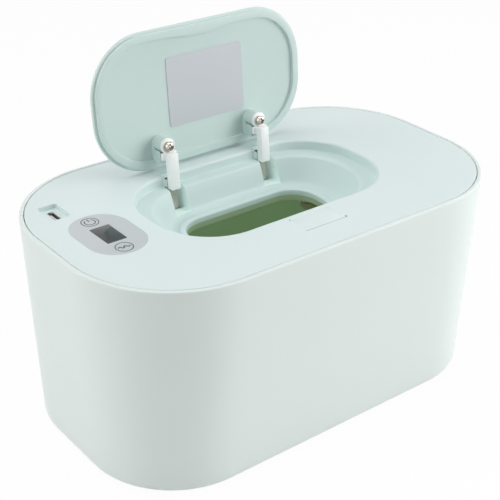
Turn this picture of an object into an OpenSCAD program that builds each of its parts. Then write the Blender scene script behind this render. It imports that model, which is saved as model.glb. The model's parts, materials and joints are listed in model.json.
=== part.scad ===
// Baby wipe warmer: a moulded tub, a lift-off heated cover and a sprung flip lid.
// The origin is the middle of the footprint on the table. +X is the right end, +Y the hinge side, +Z up.
// A "drop" is a depth below the flush top surface. The lid's pieces are written as they lie when it is shut,
// and lid_open() then swings them about the hinge pins to the open rest position.

/* [Body] */
// Length of the body over the rim, left to right
body_l = 220; // [214:1:240]
// Width of the body over the rim, front to back
body_w = 132.8; // [131:0.2:150]
// Height of the body from its base to the rim
body_h = 103.5; // [80:0.5:130]
// Plan radius of the body's corners at the rim
body_corner_r = 51.8; // [48:0.2:56]
// How far the base outline lies inside the rim outline, all round
body_draft = 5.1; // [3:0.1:7]
// Thickness of the body's side wall
body_wall = 2; // [1.6:0.1:2.6]
// Thickness of the body's floor
body_floor = 3; // [2.4:0.1:4]
// Rounding of the body's bottom edge
base_edge_r = 2.5; // [1:0.1:4]
// Rounding of the rim's outer edge
rim_edge_r = 1; // [0.4:0.1:1.4]
// Thickness of the ledge that carries the cover
ledge_t = 2.4; // [1.6:0.1:4]

/* [Feet] */
// Diameter of a rubber foot
foot_d = 12; // [8:0.5:16]
// How far a foot stands out below the base
foot_proud = 1; // [0.5:0.1:2]
// How deep a foot is let into the floor
foot_recess = 1.5; // [1:0.1:1.8]
// Distance from a foot's centre to the middle of the base, left to right
foot_x = 72; // [50:1:78]
// Distance from a foot's centre to the middle of the base, front to back
foot_y = 42; // [30:1:44]

/* [Top cover] */
// Thickness of the cover's top skin
skin_t = 2.2; // [1.8:0.1:2.4]
// Thickness of the cover's skirt
skirt_t = 2; // [1.6:0.1:2.4]
// Gap between the rim and the flush edge of the cover
rim_gap = 0.35; // [0.2:0.05:0.6]
// Height of the flush edge above the set-back skirt
flange_h = 3; // [2:0.1:5]
// How far the skirt is set back from the flush edge
skirt_setback = 1.8; // [1.6:0.1:3]
// Drop of the skirt's lower edge
cover_depth = 24; // [23.4:0.1:30]
// Thickness of the closing plate under the cover
base_t = 2.5; // [2:0.1:3]
// Gap between the closing plate and the skirt
base_gap = 0.2; // [0.1:0.05:0.4]
// Height of the silicone seal between the cover and the ledge
seal_h = 2; // [1:0.1:4]
// Width of the silicone seal
seal_w = 2.2; // [1.6:0.1:3]

/* [Flip lid] */
// Length of the flip lid, left to right
lid_l = 119.6; // [112:0.2:122]
// Width of the flip lid, front to back
lid_w = 65.7; // [65:0.1:67]
// Plan radius of the lid's corners
lid_corner_r = 28; // [25:0.5:30]
// Thickness of the lid's plate
lid_t = 2; // [1.9:0.1:2.2]
// Gap round the shut lid
lid_gap = 0.3; // [0.25:0.05:0.5]
// Gap between the shut lid's lip and the ledge of its pocket
lid_seat_gap = 0.1; // [0.05:0.05:0.3]
// Rounding of the lid's lower edge and of the pocket's top edge, which pass each other as the lid opens
swing_edge_r = 1.5; // [1.4:0.05:1.6]
// Y of the shut lid's hinge-side edge
lid_back_y = 33.2; // [32.8:0.1:33.6]
// Height of the lip under the lid
lip_h = 3; // [2.6:0.1:3.4]
// Thickness of the lip
lip_t = 2.5; // [1.6:0.1:2.8]
// How far the lip lies inside the lid's edge
lip_inset = 2.7; // [1.2:0.1:3]
// Width of the finger bulge in the middle of the front lip
bulge_l = 36; // [30:1:44]
// Depth of the finger bulge
bulge_d = 2.2; // [1.4:0.1:4]
// Length of the bare plate on the lid's underside
plate_l = 43.7; // [30:0.1:50]
// Width of the bare plate
plate_w = 33.6; // [25:0.1:36]
// Thickness of the bare plate
plate_t = 0.3; // [0.2:0.05:0.6]

/* [Bowl and opening] */
// Length of the bowl's top edge
bowl_l = 105.7; // [100:0.1:108]
// Width of the bowl's top edge
bowl_w = 56; // [55:0.1:58]
// Length of the bowl's floor
bowl_floor_l = 87; // [84:0.2:90]
// Width of the bowl's floor
bowl_floor_w = 46.4; // [45.5:0.1:47.4]
// Drop of the bowl's floor
bowl_depth = 17.6; // [17.2:0.1:18]
// Length of the dispensing opening
opening_l = 74; // [64:0.5:76]
// Width of the dispensing opening
opening_w = 32; // [28:0.5:33]
// Corner radius of the dispensing opening
opening_r = 14; // [12:0.5:15]
// Height of the lip that hangs round the opening below the bowl's floor
opening_lip = 2.7; // [2.2:0.1:3]
// Height of the rounded bead round the opening above the bowl's floor
bead_h = 0.9; // [0.5:0.1:1.2]

/* [Hinge] */
// Y of the hinge pins
hinge_y = 38.9; // [38.7:0.1:39.1]
// Drop of the hinge pins
hinge_drop = 4.7; // [4.6:0.05:4.8]
// Angle between the shut lid and the open lid
open_angle = 95.4; // [90:0.2:95.4]
// Distance of each hinge arm from the middle
arm_x = 26.9; // [26:0.1:28]
// Width of a steel hinge arm
arm_w = 3.7; // [3:0.1:4]
// Thickness of the strip of a hinge arm
arm_t = 1.4; // [1.2:0.1:1.6]
// Drop of the shut arm's lower face
arm_drop = 12.73; // [12.5:0.05:12.9]
// Y of the shut arm's tail end
arm_tail_y = 52.6; // [52:0.1:53]
// Diameter of the hinge pins
pin_d = 2.5; // [2.4:0.05:2.6]
// Radial running clearance of an arm on its pin
pin_clearance = 0.05; // [0.02:0.01:0.09]
// Outer radius of the arm's hub
hub_r = 2.2; // [2.1:0.05:2.25]
// Width of the slot in the bowl that each arm passes through
slot_w = 8.7; // [8.5:0.1:9]
// Distance of the lug's inner face from the arm's middle
lug_x = 6.5; // [6.5:0.1:7]
// Thickness of a hinge lug
lug_t = 2; // [1.6:0.1:2.4]
// Width of the white arm sleeve
sleeve_w = 4.7; // [4.5:0.1:5.2]
// Drop of the shut sleeve's lower face
sleeve_drop = 14.75; // [14.4:0.05:15.2]
// Diameter of the wire of the hinge springs
torsion_wire = 0.6; // [0.5:0.05:0.65]

/* [Release button] */
// Length of the release button, left to right
button_l = 22; // [20:0.5:24]
// Width of the release button, front to back
button_w = 12; // [11.6:0.1:12.4]
// X of the button's middle
button_x = -0.7; // [-2:0.1:2]
// Y of the button's hinge-side edge
button_back_y = -36.6; // [-37:0.1:-36.6]
// Gap round the button
button_gap = 0.2; // [0.15:0.05:0.3]
// Travel of the button, and of the latch that it pushes
latch_travel = 1.2; // [0.8:0.1:1.2]

/* [Control panel] */
// Distance of the panel's middle from the left end of the body
panel_x = 28; // [27:0.1:29]
// Width of the panel, left to right
panel_w = 27; // [24:0.1:28]
// Length of the panel, front to back
panel_l = 39.6; // [36:0.2:42]
// Thickness of the panel overlay
panel_t = 0.8; // [0.5:0.1:1]
// Width of the display lens, left to right
lens_w = 9.5; // [9:0.1:11]
// Length of the display lens, front to back
lens_l = 15.3; // [14:0.1:17]
// Distance of each touch icon from the panel's middle, front to back
icon_y = 13.9; // [12.6:0.1:15]
// Thickness of the circuit boards
board_t = 1.6; // [1:0.1:2]
// Drop of the control board's top face
board_drop = 8.2; // [7.8:0.1:9]
// Distance of the USB socket from the left end of the body
usb_x = 19.65; // [19:0.05:20.2]
// Y of the USB socket
usb_y = 31.85; // [31:0.05:32.2]
// Depth of the recess round the USB socket
usb_recess = 2; // [1:0.1:2.4]
// Length of the socket's steel shell below the recess
usb_shell_h = 7.3; // [6.5:0.1:8]

/* [Heater] */
// Gap between the heater plate's ends and the ledge round it
heater_end_gap = 10.45; // [7:0.05:22]
// Gap between the heater plate's sides and the ledge round it
heater_side_gap = 10.85; // [8:0.05:16]
// Thickness of the aluminium heater plate
heater_t = 1; // [0.6:0.1:1.6]
// Thickness of the printed heating film
film_t = 0.3; // [0.2:0.05:0.5]
// Thickness of the foam insulation
foam_t = 1.2; // [0.8:0.1:3]

/* [Hidden] */

mint = [0.80, 0.89, 0.87];
lid_mint = [0.74, 0.84, 0.82];
white = [0.90, 0.91, 0.91];
panel_grey = [0.76, 0.78, 0.79];
smoke = [0.30, 0.34, 0.33];
steel = [0.60, 0.58, 0.54];
bright = [0.82, 0.82, 0.82];
rubber = [0.25, 0.26, 0.26];
silicone = [0.86, 0.90, 0.89];
foam = [0.88, 0.88, 0.84];
amber = [0.78, 0.50, 0.20];
board_green = [0.12, 0.38, 0.24];
red_wire = [0.70, 0.16, 0.12];

big_fn = 96;   // corners of the shells
small_fn = 48; // bosses, screws and bores
join = 0.4;    // how far a rib or boss runs into the wall that carries it
cut = 1;       // how far a cut runs past the face that it opens

// Corner centres of the body's plan, shared by the tub, the cover and all that follows their outline
body_cx = body_l / 2 - body_corner_r;
body_cy = body_w / 2 - body_corner_r;
top_z = foot_proud + body_h;
floor_z = foot_proud + body_floor;
flange_r = body_corner_r - body_wall - rim_gap;
skirt_r = flange_r - skirt_setback;
skirt_in_r = skirt_r - skirt_t;
base_r = skirt_in_r - base_gap;
base_drop = cover_depth - base_t; // drop of the closing plate's top face
seal_drop = cover_depth + seal_h; // drop of the ledge's top face
ledge_r = skirt_r - seal_w - 1.2;

// Shut lid and its pocket
lid_cx = lid_l / 2 - lid_corner_r;
lid_cy = lid_w / 2 - lid_corner_r;
lid_y = lid_back_y - lid_w / 2;
lip_drop = lid_t + lip_h;
pocket_drop = lip_drop + lid_seat_gap;
pocket_r = lid_corner_r + lid_gap;
tray_wall = 2;
tray_r = pocket_r + tray_wall;
pocket_front_y = lid_y - lid_cy - pocket_r;
tray_front_y = pocket_front_y - tray_wall;
bowl_corner_r = 26.6;
bowl_floor_r = 20;
bowl_wall = 2;
opening_cx = opening_l / 2 - opening_r;
opening_cy = opening_w / 2 - opening_r;
opening_wall = 1.8;
ring_gap = 3;  // from the opening to the wall that closes the cover's inside
ring_wall = 2;

// Hinge
slot_front_y = lid_y + bowl_floor_w / 2 - 0.15;
slot_back_y = hinge_y - 2.9;
slot_wall = 2;
slot_drop = bowl_depth - 1;
slot_floor_t = 1.5;
slot_floor_back_y = slot_front_y + 5.9;
arm_back_drop = arm_drop - arm_t;
screw_y = lid_back_y - 12.5;       // the arm's screw
pedestal_drop = arm_back_drop - 1.83;
eye_t = 1.3;
eye_r = 3.2;
boss_r = 3.8;
moat = 0.6;            // gap round the boss, between it and the block behind it
block_step = 0.5;      // how far the block stays behind the boss's face
pedestal_w = 7.8;
pedestal_front_y = screw_y + 0.7;
pedestal_back_y = lid_back_y - 4.2;
sleeve_foot_y = screw_y + 2.95;    // the sleeve's foot starts just past the screw's head
sleeve_bar_y = sleeve_foot_y + 3.3;
sleeve_end_y = hinge_y + 2.25;
sleeve_flange_w = 7.8;
sleeve_flange_t = 1.8;
sleeve_back = 0.45;                // cover of the sleeve over the back of the strip
web_back_y = hinge_y + 4.6;
lug_reach = 2.4;
lug_foot = 2.9;
pin_l = 2 * (lug_x + lug_t);
hub_long = lug_x - 0.3;
torsion_r = pin_d / 2 + 0.35 + torsion_wire / 2;
torsion_pitch = torsion_wire + 0.45;
torsion_turns = 3;

// Screws, by their shank, head and length
screw_fit = 0.02;
small_shank_r = 1;
small_head_r = 2;
small_head_h = 1.2;
cover_shank_r = 1.3;
cover_head_r = 2.6;
cover_head_h = 1.5;
cover_boss_r = 3.2;
cover_screw_l = 9;
arm_shank_r = 1.25;
arm_head_r = 2.8;
arm_head_h = 1.9;
arm_screw_l = 6.5;

// Cover screws: one at each corner and each end, one behind the hinge and one on either side of the latch
cover_screw_y = body_cy + skirt_in_r - 8;
latch_screw_x = button_l / 2 + 18;
cover_screw_at = concat(
    [for (sx = [-1, 1], sy = [-1, 1]) [sx * body_cx, sy * cover_screw_y]],
    [for (sx = [-1, 1]) [sx * (body_cx + skirt_in_r - 5.2), 0]],
    [[0, cover_screw_y]],
    [for (sx = [-1, 1]) [sx * latch_screw_x, -cover_screw_y]]);

// Release button and latch
button_y = button_back_y - button_w / 2;
button_front_y = button_back_y - button_w;
cap_t = skin_t;
cap_thin = 1;          // thickness of the cap where it overhangs the latch
overhang = 3.4;        // how far back from its hinge-side edge the cap is thin
button_flange_t = 0.8;
button_flange = 1.5;
stem_l = 10;
stem_back_y = button_back_y - 4.4;
stem_front_y = stem_back_y - 5.5;
wedge_drop = 5.5;      // where the stem's 45 degree face starts
wedge_h = 3;
wedge_gap = 0.07;
guide_x = button_l / 2 + 2.1;
guide_t = 2;
latch_side_gap = 0.15;
nose_top = 2.4;
nose_t = 1.4;
nose_l = 11;
nose_reach = 0.7;      // how far the nose stands into the lid's pocket
nose_gap = 0.2;
riser_t = 1.5;
riser_back_y = button_back_y - 0.2;
latch_top = 7;
latch_bottom = 9.5;
latch_back_y = tray_front_y - 0.2;
latch_front_y = button_front_y - 1.6;
guide_front_y = latch_front_y - 6;
retainer_t = 1.5;
catch_gap = 0.2;       // the catch on the lid's lip passes the nose by this much

// Control panel and boards
panel_at = panel_x - body_l / 2;
usb_at = usb_x - body_l / 2;
panel_recess_gap = 0.05;
lens_gap = 0.1;
lens_t = skin_t - 0.1;
module_gap = 0.2;
board_x0 = panel_at - 13;
board_x1 = panel_at + 13.5;
board_y = 24;
board_boss_r = 2.2;
plug_h = 4;
// Processor, power transistor and the plugs of the two pairs of leads: low corner, high corner and height
board_parts = [[[-4, -4], [4, 4], 1.6], [[-9, -14], [-3, -8], 2.4],
    [[4, 10], [10, 18], plug_h], [[4, -18], [10, -12], plug_h]];
board_screw_at = [for (x = [board_x0 + 2.6, board_x1 - 2.6], y = [-board_y + 2.6, board_y - 2.6]) [x, y]];
usb_recess_w = 8.7;
usb_recess_l = 13.7;
usb_slot_w = 3.16;
usb_slot_l = 8.94;
usb_steel = 0.3;
usb_fit = 0.1;
usb_tray_drop = usb_recess + 1.6;
usb_board_drop = usb_recess + usb_shell_h;
usb_board_t = 1.2;
usb_screw_at = [for (y = [-3.3, 3.3]) [usb_at + 10.3, usb_y + y]];
retainer_screw_at = [for (s = [-1, 1]) [button_x + s * (guide_x + guide_t + board_boss_r - join), button_y - 1]];

// Heater stack, from the closing plate down
foam_drop = cover_depth;
film_drop = foam_drop + foam_t;
heater_drop = film_drop + film_t;
heater_bottom = heater_drop + heater_t;
heater_r = 38;
heater_l = 2 * (body_cx + ledge_r - heater_end_gap);
heater_w = 2 * (body_cy + ledge_r - heater_side_gap);
heater_cx = heater_l / 2 - heater_r;
heater_cy = heater_w / 2 - heater_r;
heater_open_gap = 5;   // from the dispensing opening to the heater plate's own opening, at the ends
heater_open_side = 7;  // and at the sides
heater_screw_at = [for (sx = [-1, 1], sy = [-1, 0, 1])
    [sx * (sy == 0 ? heater_l / 2 - 8 : heater_cx + 10), sy * (heater_w / 2 - 8)]];
heater_boss_h = 4;
heater_head_h = 1.5;
lead_hole = [panel_at + 16, 33];
lead_hole_r = 3;
thermistor_at = [opening_l / 2 + 23, 0];
cutout_at = [opening_l / 2 + 5.5, lid_y + 13.5];  // part of it shows through the opening

// Rounded rectangle, by its corner centres and its corner radius
module plan(cx, cy, r, fn = big_fn) {
    square([2 * cx, 2 * (cy + r)], center = true);
    square([2 * (cx + r), 2 * cy], center = true);
    for (sx = [-1, 1], sy = [-1, 1]) translate([sx * cx, sy * cy]) circle(r = r, $fn = fn);
}

// The same outline as a slab between two drops
module slab(cx, cy, r, drop0, drop1, y = 0) {
    translate([0, y, -drop1]) linear_extrude(drop1 - drop0) plan(cx, cy, r);
}

// Carries a profile round a rounded rectangle. The profile's x is measured outwards from the corner centres.
module sweep_round(cx, cy) {
    for (q = [0:3]) {
        sx = q == 0 || q == 3 ? 1 : -1;
        sy = q < 2 ? 1 : -1;
        translate([sx * cx, sy * cy, 0]) rotate([0, 0, 90 * q]) rotate_extrude(angle = 90, $fn = big_fn) children();
    }
    for (s = [0, 180]) {
        rotate([0, 0, s]) translate([cx, 0, 0]) rotate([90, 0, 0])
            linear_extrude(2 * cy, center = true) children();
        rotate([0, 0, 90 + s]) translate([cy, 0, 0]) rotate([90, 0, 0])
            linear_extrude(2 * cx, center = true) children();
    }
}

// Points of an arc, for a rounded edge in a profile
function arc(x, y, r, a0, a1, steps = 6) =
    [for (k = [0:steps]) let (a = a0 + (a1 - a0) * k / steps) [x + r * cos(a), y + r * sin(a)]];

// Box between two corners
module block(low, high) {
    translate(low) cube(high - low);
}

// Cylinder that stands between two drops
module post(at, r, drop0, drop1) {
    translate([at[0], at[1], -drop1]) cylinder(r = r, h = drop1 - drop0, $fn = small_fn);
}

// A tube along a path: rings of points in a frame that keeps one side towards ref
function unit(v) = v / norm(v);
function along(p, i) = unit(p[min(i + 1, len(p) - 1)] - p[max(i - 1, 0)]);
function ring(c, t, ref, r, sides) =
    let (n = unit(ref - (ref * t) * t), b = cross(t, n))
    [for (k = [0:sides - 1]) c + r * (cos(360 * k / sides) * n + sin(360 * k / sides) * b)];
module tube(p, r, ref, sides = 6) {
    last = (len(p) - 1) * sides;
    polyhedron(
        points = [for (i = [0:len(p) - 1]) each ring(p[i], along(p, i), ref, r, sides)],
        faces = concat(
            [for (k = [1:sides - 2]) [0, k, k + 1]],
            [for (k = [1:sides - 2]) [last, last + k + 1, last + k]],
            [for (i = [0:len(p) - 2], k = [0:sides - 1]) each
                let (a = i * sides + k, b = i * sides + (k + 1) % sides)
                [[a, a + sides, b + sides], [a, b + sides, b]]]),
        convexity = 6);
}

// Points of a helix about +Z from the origin, and its least gap from turn to turn
function helix(r, pitch, turns, steps = 8, a0 = 0) =
    [for (k = [0:turns * steps]) let (a = a0 + 360 * k / steps) [r * cos(a), r * sin(a), pitch * k / steps]];
function least_gap(p, wire, steps = 8) =
    min([for (i = [0:len(p) - 1], j = [0:len(p) - 1]) if (j - i > steps / 2) norm(p[i] - p[j])]) - wire;

module at_top() {
    translate([0, 0, top_z]) children();
}

// The lid swings about the pins: shut is open_angle away from the open rest position
module lid_open() {
    translate([0, hinge_y, top_z - hinge_drop]) rotate([-open_angle, 0, 0])
        translate([0, -hinge_y, hinge_drop]) children();
}

// ---------------------------------------------------------------- tub

function tub_r(z) = body_corner_r - body_draft * (top_z - z) / body_h;

module tub_profile() {
    ledge_z = top_z - seal_drop;
    under_z = ledge_z - ledge_t;
    in_r = tub_r(under_z) - body_wall;
    slope_z = under_z - (in_r - ledge_r);
    polygon(concat(
        [[0, foot_proud]],
        arc(tub_r(foot_proud) - base_edge_r, foot_proud + base_edge_r, base_edge_r, -90, 0),
        arc(body_corner_r - rim_edge_r, top_z - rim_edge_r, rim_edge_r, 0, 90),
        [[body_corner_r - body_wall, top_z],
         [tub_r(ledge_z) - body_wall, ledge_z],
         [ledge_r, ledge_z],
         [ledge_r, under_z],
         [tub_r(slope_z) - body_wall, slope_z],
         [tub_r(floor_z) - body_wall, floor_z],
         [0, floor_z]]));
}

module tub_shell() {
    color(mint) difference() {
        union() {
            sweep_round(body_cx, body_cy) tub_profile();
            block([-body_cx, -body_cy, foot_proud], [body_cx, body_cy, floor_z]);
        }
        for (sx = [-1, 1], sy = [-1, 1]) translate([sx * foot_x, sy * foot_y, foot_proud - cut])
            cylinder(d = foot_d, h = foot_recess + cut, $fn = small_fn);
    }
}

module rubber_feet() {
    color(rubber) for (sx = [-1, 1], sy = [-1, 1]) translate([sx * foot_x, sy * foot_y, 0])
        cylinder(d = foot_d - 0.1, h = foot_proud + foot_recess, $fn = small_fn);
}

// ---------------------------------------------------------------- top cover

// One slice of the bowl, grown outwards by wall
module bowl_slice(l, w, r, drop, wall) {
    translate([0, lid_y, -drop]) linear_extrude(0.01) plan(l / 2 - r, w / 2 - r, r + wall, 64);
}

module bowl_solid(wall, top_drop, bottom_drop) {
    hull() {
        bowl_slice(bowl_l, bowl_w, bowl_corner_r, top_drop, wall);
        bowl_slice(bowl_floor_l, bowl_floor_w, bowl_floor_r, bottom_drop, wall);
    }
}

// The pocket's cut, with its rounded top edge
module pocket_cut() {
    translate([0, lid_y, 0]) {
        sweep_round(lid_cx, lid_cy) polygon(concat(
            [[0, -pocket_drop], [pocket_r, -pocket_drop]],
            arc(pocket_r + swing_edge_r, -swing_edge_r, swing_edge_r, 180, 90),
            [[pocket_r + swing_edge_r, cut], [0, cut]]));
        block([-lid_cx, -lid_cy, -pocket_drop], [lid_cx, lid_cy, cut]);
    }
}

// Walls and floor of one arm's slot, and the lugs that hold its pin
module slot_walls(x) {
    for (s = [-1, 1]) {
        inner = slot_w / 2;
        translate([x, 0, 0]) {
            block([min(s * inner, s * (inner + slot_wall)), slot_front_y, -slot_drop - slot_floor_t],
                  [max(s * inner, s * (inner + slot_wall)), slot_back_y, -skin_t + join]);
            block([min(s * lug_x, s * (lug_x + lug_t)), hinge_y - lug_reach, -hinge_drop - lug_foot],
                  [max(s * lug_x, s * (lug_x + lug_t)), hinge_y + lug_reach, -skin_t + join]);
        }
    }
    block([x - slot_w / 2 - join, slot_front_y - bowl_wall, -slot_drop - slot_floor_t],
          [x + slot_w / 2 + join, slot_floor_back_y, -slot_drop]);
}

module slot_cut(x) {
    block([x - slot_w / 2, slot_front_y, -slot_drop], [x + slot_w / 2, slot_back_y, cut]);
    translate([x - pin_l / 2 - cut, hinge_y, -hinge_drop]) rotate([0, 90, 0])
        cylinder(r = pin_d / 2 + screw_fit, h = pin_l + 2 * cut, $fn = small_fn);
}

// Side walls and front wall that guide the latch
module latch_guide() {
    for (s = [-1, 1]) translate([button_x, 0, 0])
        block([min(s * guide_x, s * (guide_x + guide_t)), guide_front_y - guide_t, -latch_bottom - 0.1],
              [max(s * guide_x, s * (guide_x + guide_t)), tray_front_y + join, -skin_t + join]);
    block([button_x - guide_x - join, guide_front_y - guide_t, -latch_bottom - 0.1],
          [button_x + guide_x + join, guide_front_y, -skin_t + join]);
    for (p = retainer_screw_at) {
        post(p, board_boss_r, skin_t - join, latch_bottom + 0.1);
    }
}

module cover_inside() {
    slab(lid_cx, lid_cy, tray_r, skin_t - join, pocket_drop + tray_wall, lid_y);
    bowl_solid(bowl_wall, pocket_drop, bowl_depth + bowl_wall);
    slab(opening_cx, opening_cy, opening_r + ring_gap + ring_wall, bowl_depth, base_drop, lid_y);
    for (x = [-arm_x, arm_x]) slot_walls(x);
    latch_guide();
    for (p = cover_screw_at) post(p, cover_boss_r, skin_t - join, base_drop);
    for (p = board_screw_at) post(p, board_boss_r, skin_t - join, board_drop);
    for (p = usb_screw_at) post(p, board_boss_r, skin_t - join, usb_board_drop);
    translate([usb_at, usb_y, 0])
        block([-usb_recess_w / 2 - 1.6, -usb_recess_l / 2 - 1.6, -usb_tray_drop],
              [usb_recess_w / 2 + 1.6, usb_recess_l / 2 + 1.6, -skin_t + join]);
}

// The wall that hangs round the opening, inside the ring wall, and the bead on top of it
module opening_lip_solid() {
    translate([0, lid_y, 0]) sweep_round(opening_cx, opening_cy) {
        translate([opening_r, -bowl_depth - opening_lip]) square([opening_wall, opening_lip + join]);
        translate([opening_r + opening_wall, -bowl_depth]) scale([1, bead_h / opening_wall])
            circle(r = opening_wall, $fn = 32);
    }
}

module cover_cuts() {
    pocket_cut();
    bowl_solid(0, pocket_drop - 0.5, bowl_depth);
    slab(opening_cx, opening_cy, opening_r + ring_gap, bowl_depth + bowl_wall, base_drop + cut, lid_y);
    slab(opening_cx, opening_cy, opening_r, bowl_depth - cut, base_drop + cut, lid_y);
    for (x = [-arm_x, arm_x]) slot_cut(x);
    translate([panel_at, 0, -panel_t]) linear_extrude(panel_t + cut) panel_outline(panel_recess_gap);
    translate([panel_at, 0, 0])
        block([-lens_w / 2 - lens_gap, -lens_l / 2 - lens_gap, -skin_t - cut],
              [lens_w / 2 + lens_gap, lens_l / 2 + lens_gap, cut]);
    block([button_x - button_l / 2, button_front_y, -skin_t - cut],
          [button_x + button_l / 2, button_back_y, cut]);
    block([button_x - nose_l / 2 - nose_gap, tray_front_y - cut, -nose_top - nose_t - nose_gap],
          [button_x + nose_l / 2 + nose_gap, pocket_front_y + cut, -nose_top + nose_gap]);
    translate([usb_at, usb_y, 0]) {
        block([-usb_recess_w / 2, -usb_recess_l / 2, -usb_recess], [usb_recess_w / 2, usb_recess_l / 2, cut]);
        translate([0, 0, -usb_tray_drop - cut]) linear_extrude(usb_tray_drop + cut) usb_outline(usb_fit);
    }
    for (p = cover_screw_at) post(p, cover_shank_r + screw_fit, base_drop - 9, base_drop + cut);
    for (p = board_screw_at) post(p, small_shank_r + screw_fit, board_drop - 4.6, board_drop + cut);
    for (p = usb_screw_at) post(p, small_shank_r + screw_fit, usb_board_drop - 4.6, usb_board_drop + cut);
    for (p = retainer_screw_at) post(p, small_shank_r + screw_fit, latch_bottom - 4.5, latch_bottom + cut);
}

module top_cover() {
    color(mint) at_top() union() {
        difference() {
            union() {
                difference() {
                    union() {
                        slab(body_cx, body_cy, flange_r, 0, flange_h);
                        slab(body_cx, body_cy, skirt_r, flange_h - join, cover_depth);
                    }
                    slab(body_cx, body_cy, skirt_in_r, skin_t, cover_depth + cut);
                }
                cover_inside();
            }
            cover_cuts();
        }
        opening_lip_solid();
    }
}

module cover_base() {
    color(white) at_top() difference() {
        union() {
            slab(body_cx, body_cy, base_r, base_drop, cover_depth);
            for (p = heater_screw_at) post(p, cover_boss_r, base_drop - heater_boss_h, base_drop + join);
        }
        slab(opening_cx, opening_cy, opening_r + ring_gap, base_drop - cut, cover_depth + cut, lid_y);
        for (p = cover_screw_at) {
            post(p, cover_shank_r + 0.2, base_drop - cut, cover_depth + cut);
            post(p, cover_head_r + 0.2, cover_depth - cover_head_h - 0.1, cover_depth + cut);
        }
        for (p = heater_screw_at)
            post(p, cover_shank_r + screw_fit, base_drop - heater_boss_h + 0.8, cover_depth + cut);
        post(lead_hole, lead_hole_r, base_drop - cut, cover_depth + cut);
    }
}

// Self-tapping screw that goes up: head below seat_drop, shank above it
module screw_up(at, shank_r, length, head_r, head_h, seat_drop) {
    difference() {
        union() {
            post(at, shank_r, seat_drop - length, seat_drop + 0.1);
            post(at, head_r, seat_drop, seat_drop + head_h);
        }
        for (a = [0, 90]) translate([at[0], at[1], -seat_drop - head_h]) rotate([0, 0, a])
            cube([head_r * 1.2, head_r * 0.26, head_h], center = true);
    }
}

module cover_screws() {
    color(bright) at_top() for (p = cover_screw_at)
        screw_up(p, cover_shank_r, cover_screw_l, cover_head_r, cover_head_h, cover_depth - cover_head_h - 0.1);
}

module cover_seal() {
    color(silicone) at_top() difference() {
        slab(body_cx, body_cy, skirt_r - 0.4, cover_depth, seal_drop);
        slab(body_cx, body_cy, skirt_r - 0.4 - seal_w, cover_depth - cut, seal_drop + cut);
    }
}

// ---------------------------------------------------------------- heater

// One layer of the heater: a plate with the opening, the screw holes and nothing else
module heater_layer(inset, drop0, drop1, hole_r) {
    difference() {
        slab(heater_cx, heater_cy, heater_r - inset, drop0, drop1, 0);
        translate([0, lid_y, -drop1 - cut]) linear_extrude(drop1 - drop0 + 2 * cut)
            plan(opening_cx + heater_open_gap - inset, opening_cy + heater_open_side - inset, opening_r + inset * 2);
        for (p = heater_screw_at) post(p, hole_r, drop0 - cut, drop1 + cut);
    }
}

module insulation_pad() {
    color(foam) at_top() difference() {
        heater_layer(1, foam_drop, film_drop, cover_shank_r + 1.5);
        post(lead_hole, lead_hole_r + 0.5, foam_drop - cut, film_drop + cut);
        post(thermistor_at, 3, foam_drop - cut, film_drop + cut);
    }
}

module heating_film() {
    color(amber) at_top() difference() {
        heater_layer(2, film_drop, heater_drop, cover_shank_r + 2);
        post(thermistor_at, 3, film_drop - cut, heater_drop + cut);
    }
}

module heater_plate() {
    color(bright) at_top() heater_layer(0, heater_drop, heater_bottom, cover_shank_r + 0.3);
}

module heater_screws() {
    color(steel) at_top() for (p = heater_screw_at)
        screw_up(p, cover_shank_r, heater_bottom - base_drop + heater_boss_h - 1.2, cover_head_r, heater_head_h,
            heater_bottom);
}

module thermal_cutout() {
    color([0.55, 0.42, 0.30]) at_top() {
        post(cutout_at, 4, heater_bottom, heater_bottom + 2.2);
        post(cutout_at, 3, heater_bottom, heater_bottom + 3.4);
        block([cutout_at[0] - 1.5, cutout_at[1] - 7, -heater_bottom - 0.5],
              [cutout_at[0] + 1.5, cutout_at[1] + 7, -heater_bottom]);
    }
}

module thermistor() {
    bead_r = 0.7;
    color([0.15, 0.15, 0.16]) at_top() translate([thermistor_at[0] - 1.6, thermistor_at[1], -heater_drop + bead_r])
        rotate([0, 90, 0]) cylinder(r = bead_r, h = 3.2, $fn = 24);
}

// ---------------------------------------------------------------- control panel and boards

module panel_outline(grow) {
    r = panel_w / 2 + grow;
    run = panel_l / 2 - panel_w / 2;
    square([2 * r, 2 * run], center = true);
    for (s = [-1, 1]) translate([0, s * run]) circle(r = r, $fn = big_fn);
}

module control_panel() {
    color(panel_grey) at_top() difference() {
        translate([panel_at, 0, -panel_t]) linear_extrude(panel_t) panel_outline(0);
        translate([panel_at, 0, 0])
            block([-lens_w / 2 - lens_gap, -lens_l / 2 - lens_gap, -panel_t - cut],
                  [lens_w / 2 + lens_gap, lens_l / 2 + lens_gap, cut]);
    }
}

module display_lens() {
    color(smoke) at_top() translate([panel_at, 0, 0])
        block([-lens_w / 2, -lens_l / 2, -lens_t], [lens_w / 2, lens_l / 2, 0]);
}

module display_module() {
    color([0.12, 0.12, 0.13]) at_top() translate([panel_at, 0, 0])
        block([-lens_w / 2 + 0.2, -lens_l / 2 + 0.2, -board_drop], [lens_w / 2 - 0.2, lens_l / 2 - 0.2, -lens_t - module_gap]);
}

module control_board() {
    color(board_green) at_top() {
        difference() {
            block([board_x0, -board_y, -board_drop - board_t], [board_x1, board_y, -board_drop]);
            for (p = board_screw_at) post(p, small_shank_r + 0.2, board_drop - cut, board_drop + board_t + cut);
        }
        // The parts hang from its lower face
        translate([panel_at, 0, -board_drop - board_t]) {
            for (part = board_parts) block([part[0][0], part[0][1], -part[2]], [part[1][0], part[1][1], 0]);
        }
    }
}

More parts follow.
